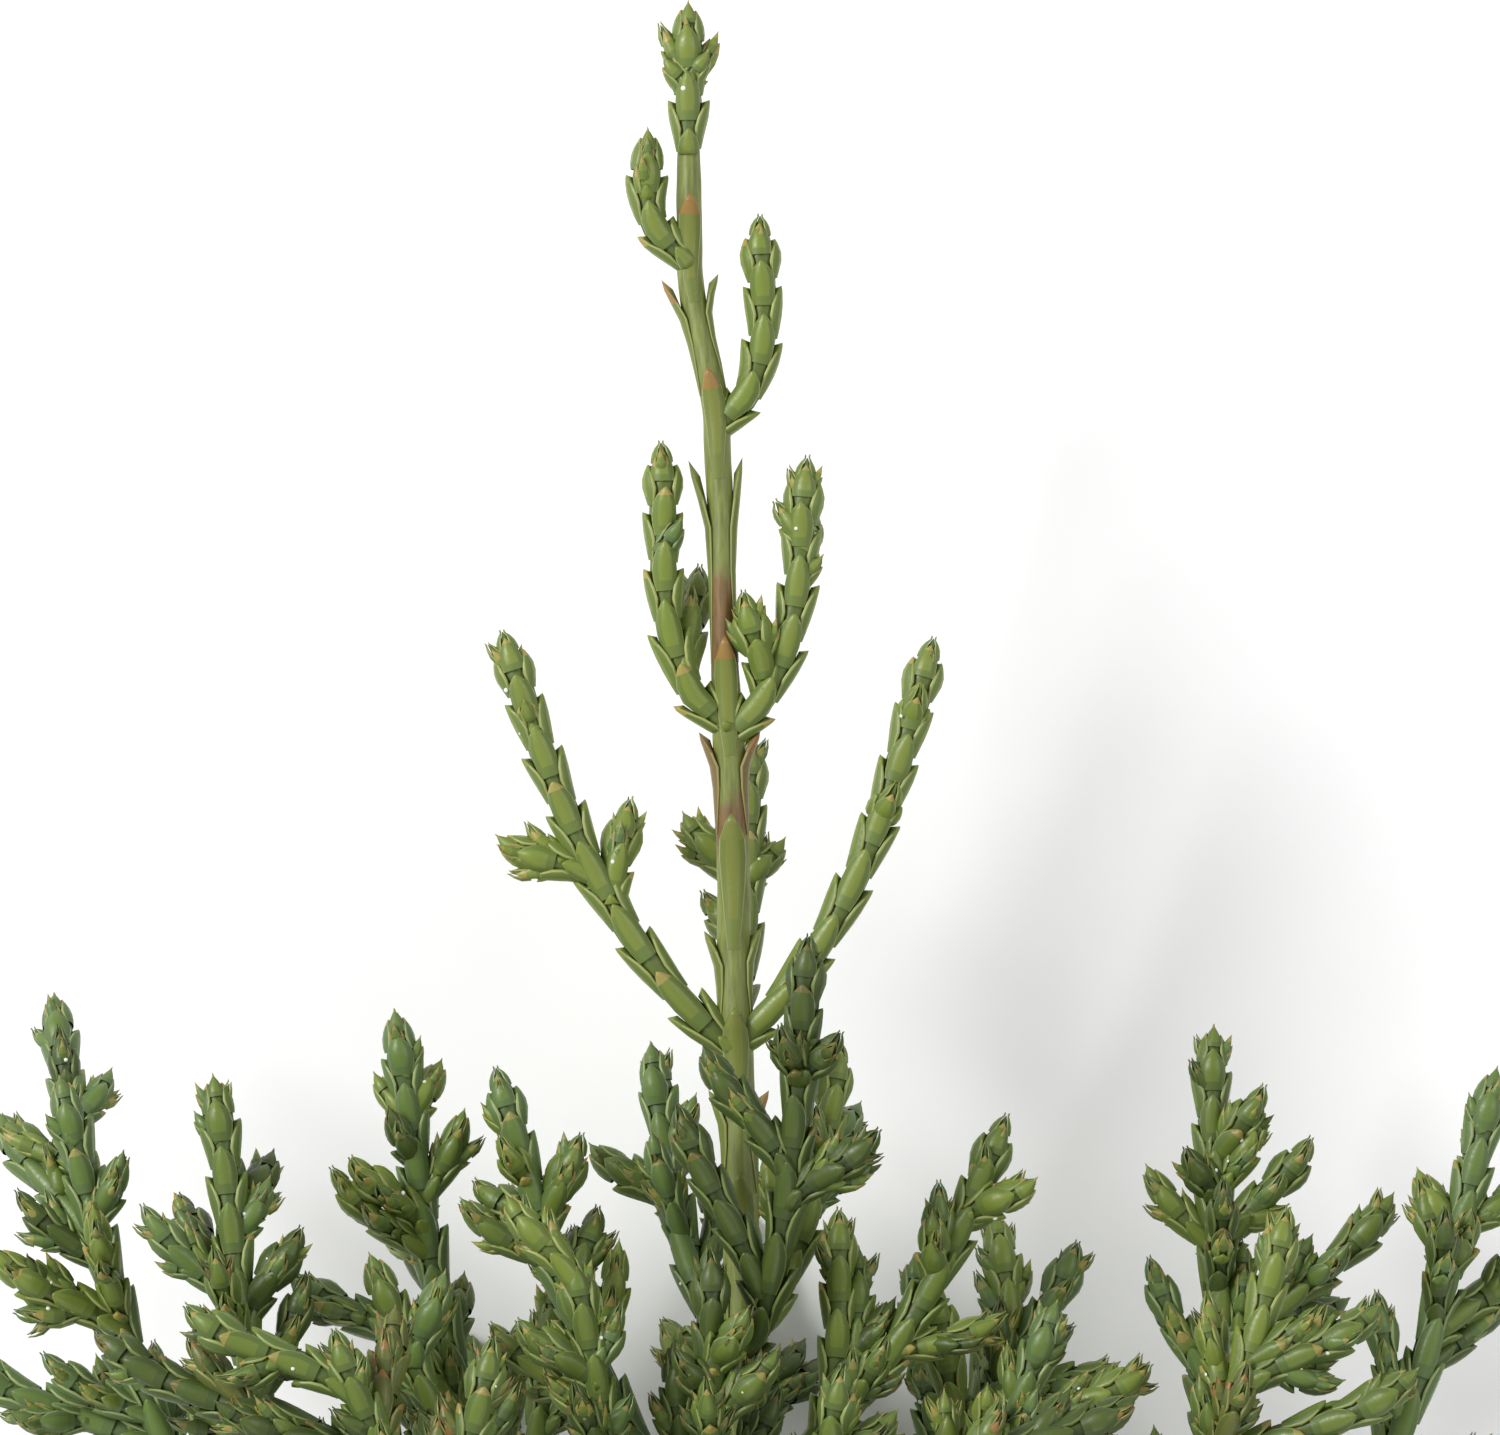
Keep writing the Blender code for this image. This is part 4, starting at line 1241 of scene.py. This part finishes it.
def tube(gathered: PieceMesh, path: Path, step: float, sides: int, share: float, slot: int,
         ridges: float = 0.0, cap: int | None = None) -> None:
    """Draws a round core or a limb's bark along a line.

    Args:
        gathered: The mesh that it joins.
        path: The line.
        step: How far apart its rings are, in millimetres.
        sides: How many corners a ring has.
        share: Its radius as a share of the line's.
        slot: Its slot.
        ridges: How far four rounded ridges and fine wrinkles stand out, as a share of the radius.
        cap: The slot of a flat cut face at the foot, or nothing for an open foot.
    """
    count = max(FEWEST_RINGS, round(path.length / step) + 1)
    below = np.linspace(path.length, 0.0, count)
    points, _, side, front = path.frames(below)
    turn = np.linspace(0.0, 2.0 * math.pi, sides, endpoint=False)
    waves = sum(strong * np.cos(round_it * turn[None, :] + turning * below[:, None])
                for strong, round_it, turning in WRINKLES)
    out = (path.core(below) * share)[:, None] * (1.0 + ridges * waves)
    corners = points[:, None, :] + out[..., None] * (
        np.cos(turn)[None, :, None] * side[:, None, :]
        + np.sin(turn)[None, :, None] * front[:, None, :])
    first = np.arange(count - 1)[:, None] * sides
    ring = np.arange(sides)
    after = (ring + 1) % sides
    here, there = first + ring[None, :], first + after[None, :]
    quads = np.stack([here, here + sides, there + sides, there], -1)
    corners = np.concatenate([corners.reshape(-1, 3), points[-1:], points[:1]])
    top = (count - 1) * sides
    threes = np.stack([top + ring, np.full(sides, count * sides), top + after], -1)
    slots = np.full(sides, slot)
    if cap is not None:
        foot = np.stack([ring, after, np.full(sides, count * sides + 1)], -1)
        threes, slots = np.concatenate([threes, foot]), np.concatenate([slots, np.full(sides, cap)])
    gathered.add(corners, quads, np.full(quads.shape[0] * sides, slot), threes, slots)


@dataclass
class Foliage:
    """The leaves, buds and green twigs of the masses."""

    first_gap: float = 0.46
    gap_growth: float = 0.27
    plain_gap: float = 1.05
    gap_per_mm: float = 0.055
    widest_gap: float = 2.3
    reach_per_gap: float = 1.55
    shortest_leaf: float = 0.95
    stand_per_mm: float = 0.032
    widest_stand: float = 0.22
    stands: tuple = (0.6, 1.35)
    first_tip: float = -0.16
    bare_foot: float = 0.35
    tucked_in: float = 0.35
    tip_sway: float = 0.05
    leaf_lengths: tuple = (0.94, 1.06)
    bearing_sway: float = 7.0
    tipped_below: float = 0.9
    tipped_share: float = 0.12
    twig_step: float = 0.9
    twig_sides: int = 7
    twig_share: float = 0.94
    young_above: float = 24.0
    rusty_before: float = 8.0
    old_below: float = -2.0

    def pairs(self, length: float) -> list:
        """Spaces the leaf pairs of a twig.

        Args:
            length: The twig's length.

        Returns:
            For each pair from the tip down, how far its tips are below the twig's, and how long
            its leaves are.
        """
        found = []
        below, gap = self.first_tip, self.first_gap
        while below < length - self.bare_foot:
            long = max(self.shortest_leaf, gap * self.reach_per_gap + self.tucked_in)
            found.append((below, long))
            below += gap
            plain = self.plain_gap + self.gap_per_mm * max(below, 0.0)
            gap = min(gap + self.gap_growth, plain, self.widest_gap)
        return found

    def clothe(self, leaves: PieceMesh, twigs: PieceMesh, twig: Twig, tone: Tone, form: LeafForm,
               chance: random.Random) -> None:
        """Clothes one twig in leaves.

        Args:
            leaves: The mesh of leaves.
            twigs: The mesh of twigs.
            twig: The twig.
            tone: Its tone.
            form: The form of its leaves.
            chance: The mass's own random numbers.
        """
        path = twig_path(twig)
        slot = list(Tone).index(tone)
        tube(twigs, path, self.twig_step, self.twig_sides, self.twig_share, slot)
        tips, lengths, bearings, stands, tipped = [], [], [], [], []
        parity = chance.randrange(2)
        for number, (below, length) in enumerate(self.pairs(path.length)):
            for side in (0.0, 180.0):
                tips.append(below + chance.uniform(-self.tip_sway, self.tip_sway))
                lengths.append(length * chance.uniform(*self.leaf_lengths))
                sway = chance.uniform(-self.bearing_sway, self.bearing_sway)
                bearings.append(90.0 * ((number + parity) % 2) + side + sway)
                stand = min(self.stand_per_mm * max(below, 0.0), self.widest_stand)
                stands.append(stand * chance.uniform(*self.stands))
                tipped.append(below < self.tipped_below or chance.random() < self.tipped_share)
        slots = np.full(len(tips), tone.first_slot())
        form.clothe(leaves, path, np.array(tips), np.array(lengths), np.array(bearings),
                    np.array(stands), slots, np.array(tipped))

    def tone(self, name: str, twig: Twig, chance: random.Random) -> Tone:
        """Deals a tone to a shoot by its mass and by how high and how far forward it is.

        Args:
            name: The mass.
            twig: The shoot.
            chance: The mass's own random numbers.

        Returns:
            Its tone.
        """
        tip = twig.points[-1]
        if name in ("front", "front_low"):
            return chance.choices((Tone.OLD, Tone.GROWN), (3.0, 1.0))[0]
        if tip.y > self.young_above:
            return chance.choices((Tone.YOUNG, Tone.FRESH, Tone.BLUE), (3.0, 3.0, 1.0))[0]
        if tip.z > self.rusty_before:
            return chance.choices((Tone.RUSTY, Tone.GROWN, Tone.OLD), (2.0, 2.0, 1.0))[0]
        if tip.y < self.old_below:
            return chance.choices((Tone.OLD, Tone.GROWN, Tone.BLUE), (3.0, 2.0, 1.0))[0]
        mixed = (Tone.GROWN, Tone.BLUE, Tone.FRESH, Tone.OLD)
        return chance.choices(mixed, (3.0, 3.0, 2.5, 1.0))[0]

    def build(self, name: str, masses: tuple, grown: dict, place: np.ndarray, materials: list,
              wood: list) -> list:
        """Makes the leaves and the twigs of a group of masses.

        Args:
            name: The group's name.
            masses: Its masses.
            grown: Axes, side shoots and buds by mass.
            place: Where the growing frame's origin lies.
            materials: The leaf materials.
            wood: The twig materials, one for each tone.

        Returns:
            The piece of leaves and the piece of twigs.
        """
        leaves, twigs = PieceMesh(), PieceMesh()
        for number, mass in enumerate(masses):
            chance = random.Random(LEAF_SEED + number + len(name))
            axes, shoots, buds = grown[mass]
            for twig in axes + shoots:
                self.clothe(leaves, twigs, twig, self.tone(mass, twig, chance), FULL_LEAF, chance)
            for bud in buds:
                self.clothe(leaves, twigs, bud, self.tone(mass, bud, chance), SMALL_LEAF, chance)
        return [leaves.piece(f"leaves_{name}", place, materials),
                twigs.piece(f"twigs_{name}", place, wood)]


@dataclass
class Limbs:
    """The leader and the boughs: bark with relief, and long leaf pairs whose bases run down it."""

    ridge: float = 0.055
    ring_step: float = 0.3
    sides: int = 28
    node_overlap: float = 1.1
    leaf_stand: float = 0.5
    leaf_stands: tuple = (0.7, 1.3)
    tip_sway: float = 0.25
    bearing_sway: float = 5.0
    tipped_share: float = 0.45
    ruddy: tuple = ((35.4, 41.2), (27.6, 31.2), (-38.0, -17.0))
    ruddy_leaf_below: float = 1.5
    into_tip: float = 0.8
    below_cut: float = 3.0
    leader_points: int = 240
    leaf_core: float = 0.7
    bough_sides: int = 16
    bough_step: float = 0.5
    fewest_bough_points: int = 12
    bough_root: float = 0.8
    bough_first_tip: float = 0.6
    bough_bare_foot: float = 2.4
    bough_node_gap: float = 2.7
    bough_gaps: tuple = (0.85, 1.15)
    bough_tip_sway: float = 0.15
    bough_bearing_sway: float = 8.0
    bough_leaf_stand: float = 0.4
    bough_leaf_stands: tuple = (0.6, 1.4)
    bough_brown: tuple = (-0.2, -0.016)

    def leader_path(self) -> Path:
        """Draws the leader's centre line.

        Returns:
            The line, which runs on a little into the crown tip.
        """
        heights = np.linspace(LEADER.cut, LEADER.top + self.into_tip, self.leader_points)
        points = np.array([tuple(LEADER.centre(height)) for height in heights])
        radii = np.array([LEADER.radius(height) for height in heights])
        return Path(points, self.leaf_core, radii)

    def bough_path(self, bough: Bough, twig: Twig) -> Path:
        """Draws a bough's centre line from inside the leader, tapering to the twig it carries.

        Args:
            bough: The bough.
            twig: Its curve.

        Returns:
            The line.
        """
        count = max(self.fewest_bough_points, round(twig.length / self.bough_step))
        fine = interpolate_bezier(*twig.handles, count)
        root = LEADER.centre(bough.height - self.bough_root)
        points = np.array([tuple(point) for point in (root, *fine)])
        radii = np.linspace(bough.radius, CORE_RADIUS * CORE_SHARE, len(points))
        return Path(points, self.leaf_core, radii)

    def leader_leaves(self, gathered: PieceMesh, path: Path) -> None:
        """Sets the leader's leaf pairs at its nodes.

        Args:
            gathered: The mesh that they join.
            path: The leader's line.
        """
        chance = random.Random(LOOKS_SEED)
        top = LEADER.top + self.into_tip
        stretched = path.length / (top - LEADER.cut)
        tips, lengths, bearings, stands, slots, tipped = [], [], [], [], [], []
        nodes = (LEADER.cut - self.below_cut, *LEADER.nodes)
        for turn, (foot, height) in enumerate(zip(nodes, nodes[1:])):
            for side in (0.0, 180.0):
                sway = chance.uniform(-self.tip_sway, self.tip_sway)
                tips.append((top - height) * stretched + sway)
                lengths.append(min(height - foot + self.node_overlap, height - LEADER.cut))
                sway = chance.uniform(-self.bearing_sway, self.bearing_sway)
                bearings.append(90.0 * ((turn + 1) % 2) + side + sway)
                stands.append(self.leaf_stand * chance.uniform(*self.leaf_stands))
                middle = height - self.ruddy_leaf_below
                ruddy = any(low < middle < high for low, high in self.ruddy)
                slots.append((Tone.RUDDY if ruddy else Tone.STEM).first_slot())
                tipped.append(chance.random() < self.tipped_share)
        STEM_LEAF.clothe(gathered, path, np.array(tips), np.array(lengths), np.array(bearings),
                         np.array(stands), np.array(slots), np.array(tipped))

    def bough_leaves(self, gathered: PieceMesh, path: Path, chance: random.Random) -> None:
        """Sets leaf pairs along a bough.

        Args:
            gathered: The mesh that they join.
            path: The bough's line.
            chance: The bough's own random numbers.
        """
        below, turn = self.bough_first_tip, chance.randrange(2)
        tips, lengths, bearings, stands = [], [], [], []
        while below < path.length - self.bough_bare_foot:
            for side in (0.0, 180.0):
                tips.append(below + chance.uniform(-self.bough_tip_sway, self.bough_tip_sway))
                lengths.append(self.bough_node_gap + self.node_overlap)
                sway = chance.uniform(-self.bough_bearing_sway, self.bough_bearing_sway)
                bearings.append(90.0 * (turn % 2) + side + sway)
                stands.append(self.bough_leaf_stand * chance.uniform(*self.bough_leaf_stands))
            below += self.bough_node_gap * chance.uniform(*self.bough_gaps)
            turn += 1
        tone = chance.choice((Tone.OLD, Tone.GROWN, Tone.RUSTY))
        STEM_LEAF.clothe(gathered, path, np.array(tips), np.array(lengths), np.array(bearings),
                         np.array(stands), np.full(len(tips), tone.first_slot()),
                         np.full(len(tips), False))

    def build(self, boughs: dict, place: np.ndarray, materials: list) -> list:
        """Makes the bark and the leaves of the leader and the boughs.

        Args:
            boughs: The boughs' curves by name.
            place: Where the growing frame's origin lies.
            materials: The leaf materials.

        Returns:
            The leader's bark and leaves, then the boughs'.
        """
        stretches = tuple((low * MM + place[1], high * MM + place[1]) for low, high in self.ruddy)
        brown = ((self.bough_brown[0], place[1] + self.bough_brown[1]),)
        bark = Bark("leader bark", (0.17, 0.2, 0.045), (0.18, 0.105, 0.038), stretches).material()
        grown = Bark("bough bark", (0.12, 0.13, 0.035), (0.13, 0.085, 0.036), brown).material()
        cut = Finish("cut wood", (0.62, 0.6, 0.36), roughness=0.7, grain_mm=0.09,
                     relief_mm=0.02).material()
        leader, leaves = PieceMesh(), PieceMesh()
        path = self.leader_path()
        tube(leader, path, self.ring_step, self.sides, 1.0, 0, self.ridge, 1)
        self.leader_leaves(leaves, path)
        bough_bark, bough_leaves = PieceMesh(), PieceMesh()
        for index, bough in enumerate(BOUGHS):
            line = self.bough_path(bough, boughs[bough.name])
            tube(bough_bark, line, self.ring_step, self.bough_sides, 1.0, 0, self.ridge)
            self.bough_leaves(bough_leaves, line, random.Random(BOUGH_LEAF_SEED + index))
        return [leader.piece("leader_bark", place, [bark, cut]),
                leaves.piece("leader_leaves", place, materials),
                bough_bark.piece("bough_bark", place, [grown]),
                bough_leaves.piece("bough_leaves", place, materials)]


@dataclass
class Flecks:
    """The tiny white drops of dried resin on the backs of leaves."""

    every: int = 3
    smallest: float = 0.06
    largest: float = 0.13
    sides: int = 8
    nearest_tip: float = 1.5
    furthest: float = 12.0
    shortest_run: float = 0.1
    bare_foot: float = 1.0
    bearings: tuple = (20.0, 160.0)
    on_leaf: float = 1.2
    shoulder: float = 0.7
    shoulder_height: float = 0.6
    height: float = 0.85

    def build(self, grown: dict, place: np.ndarray) -> bpy.types.Object:
        """Makes the flecks on some of the shoots.

        Args:
            grown: Axes, side shoots and buds by mass.
            place: Where the growing frame's origin lies.

        Returns:
            The piece.
        """
        chance = random.Random(FLECK_SEED)
        drops = PieceMesh()
        turn = np.linspace(0.0, 2.0 * math.pi, self.sides, endpoint=False)[:, None]
        here = np.arange(self.sides)
        after = (here + 1) % self.sides
        quads = np.stack([here, after, after + self.sides, here + self.sides], -1)
        top = np.full(self.sides, self.sides * 2)
        threes = np.stack([here + self.sides, after + self.sides, top], -1)
        slots = np.zeros(self.sides, int)
        for axes, shoots, _ in grown.values():
            for twig in axes + shoots:
                if chance.randrange(self.every):
                    continue
                furthest = max(self.nearest_tip + self.shortest_run,
                               min(twig.length - self.bare_foot, self.furthest))
                below = chance.uniform(self.nearest_tip, furthest)
                out = twig.around(below, chance.uniform(*self.bearings))
                size = chance.uniform(self.smallest, self.largest)
                spot = np.array(twig.at(below) + out * (twig.radius * self.on_leaf))
                across = np.array(squared(UP, out))
                out = np.array(out)
                ring = np.cos(turn) * across + np.sin(turn) * np.cross(out, across)
                corners = np.concatenate([
                    spot + ring * size,
                    spot + ring * size * self.shoulder + out * size * self.shoulder_height,
                    [spot + out * size * self.height]])
                drops.add(corners, quads, slots, threes, slots)
        resin = Finish("dried resin", (0.78, 0.8, 0.74), roughness=0.3).material()
        return drops.piece("resin_flecks", place, [resin])


@dataclass(frozen=True)
class Studio:
    """The pale floor, the soft lights and the camera that looks down on the shoot."""

    pixels_per_mm: float = 22.0
    photo_width: int = 1500
    photo_height: int = 1435
    stem_pixel: float = 738.0
    camera_height: float = 0.42
    sensor_mm: float = 36.0
    floor_side: float = 6.0
    nearest: float = 0.01
    furthest: float = 20.0
    world_strength: float = 0.46
    panels: tuple = (("left panel", (-0.34, 0.18, 0.32), 0.2, 2.3),
                     ("right panel", (0.36, 0.1, 0.34), 0.3, 0.7),
                     ("low panel", (0.04, -0.4, 0.3), 0.26, 0.42))

    def floor(self) -> bpy.types.Object:
        """Makes the floor.

        Returns:
            A wide plane with a pale, faintly mottled finish.
        """
        bpy.ops.mesh.primitive_plane_add(size=self.floor_side, location=(0.0, 0.0, 0.0))
        floor = bpy.context.object
        floor.name = "floor"
        finish = Finish("pale floor", (0.93, 0.93, 0.93), roughness=0.8, grain_mm=4.0,
                        relief_mm=0.01)
        floor.data.materials.append(finish.material())
        return floor

    def lights(self) -> None:
        """Sets a bright even world and soft panels above and to both sides."""
        world = bpy.data.worlds.new("pale studio")
        bpy.context.scene.world = world
        world.use_nodes = True
        background = world.node_tree.nodes["Background"]
        background.inputs["Color"].default_value = (1.0, 1.0, 1.0, 1.0)
        background.inputs["Strength"].default_value = self.world_strength
        for name, where, size, power in self.panels:
            light = bpy.data.lights.new(name, "AREA")
            light.size = size
            light.energy = power
            lamp = bpy.data.objects.new(name, light)
            lamp.location = where
            lamp.rotation_euler = (-Vector(where)).to_track_quat("-Z", "Y").to_euler()
            bpy.context.scene.collection.objects.link(lamp)

    def camera(self, place: np.ndarray) -> None:
        """Sets the camera over the shoot so that the photograph's frame is seen.

        Args:
            place: Where the growing frame's origin lies.
        """
        wide = self.photo_width / self.pixels_per_mm * MM
        data = bpy.data.cameras.new("camera")
        data.sensor_width = self.sensor_mm
        data.lens = self.sensor_mm * self.camera_height / wide
        data.clip_start, data.clip_end = self.nearest, self.furthest
        camera = bpy.data.objects.new("camera", data)
        across = (self.photo_width / 2.0 - self.stem_pixel) / self.pixels_per_mm * MM
        up = self.photo_height / 2.0 / self.pixels_per_mm * MM
        camera.location = (place[0] + across, place[1] + up, place[2] + self.camera_height)
        bpy.context.scene.collection.objects.link(camera)
        bpy.context.scene.camera = camera


def main() -> None:
    """Grows the shoot again, dresses it and sets the studio."""
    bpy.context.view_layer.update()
    place = np.array(ON_THE_GROUND) * MM
    studio = Studio()
    studio.camera(place)
    studio.lights()
    studio.floor()
    boughs, grown = Growth(floor=-place[2] / MM).grow()
    materials = leaf_materials()
    wood = twig_materials()
    bark, bark_leaves, bough_bark, bough_leaves = Limbs().build(boughs, place, materials)
    for piece in (bark, bark_leaves, bough_bark, bough_leaves):
        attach(piece, "root")
    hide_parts("leader")
    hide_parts(*boughs)
    foliage = Foliage()
    for name, masses in GROUPS.items():
        leaves, twigs = foliage.build(name, masses, grown, place, materials, wood)
        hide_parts(*masses)
        for piece in (leaves, twigs):
            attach(piece, "root")
    for piece in foliage.build("boughs", tuple(boughs), grown, place, materials, wood):
        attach(piece, "root")
    flecks = Flecks().build(grown, place)
    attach(flecks, "root")
    bpy.context.scene.view_settings.view_transform = "Standard"
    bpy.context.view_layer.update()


if __name__ == "__main__":
    main()
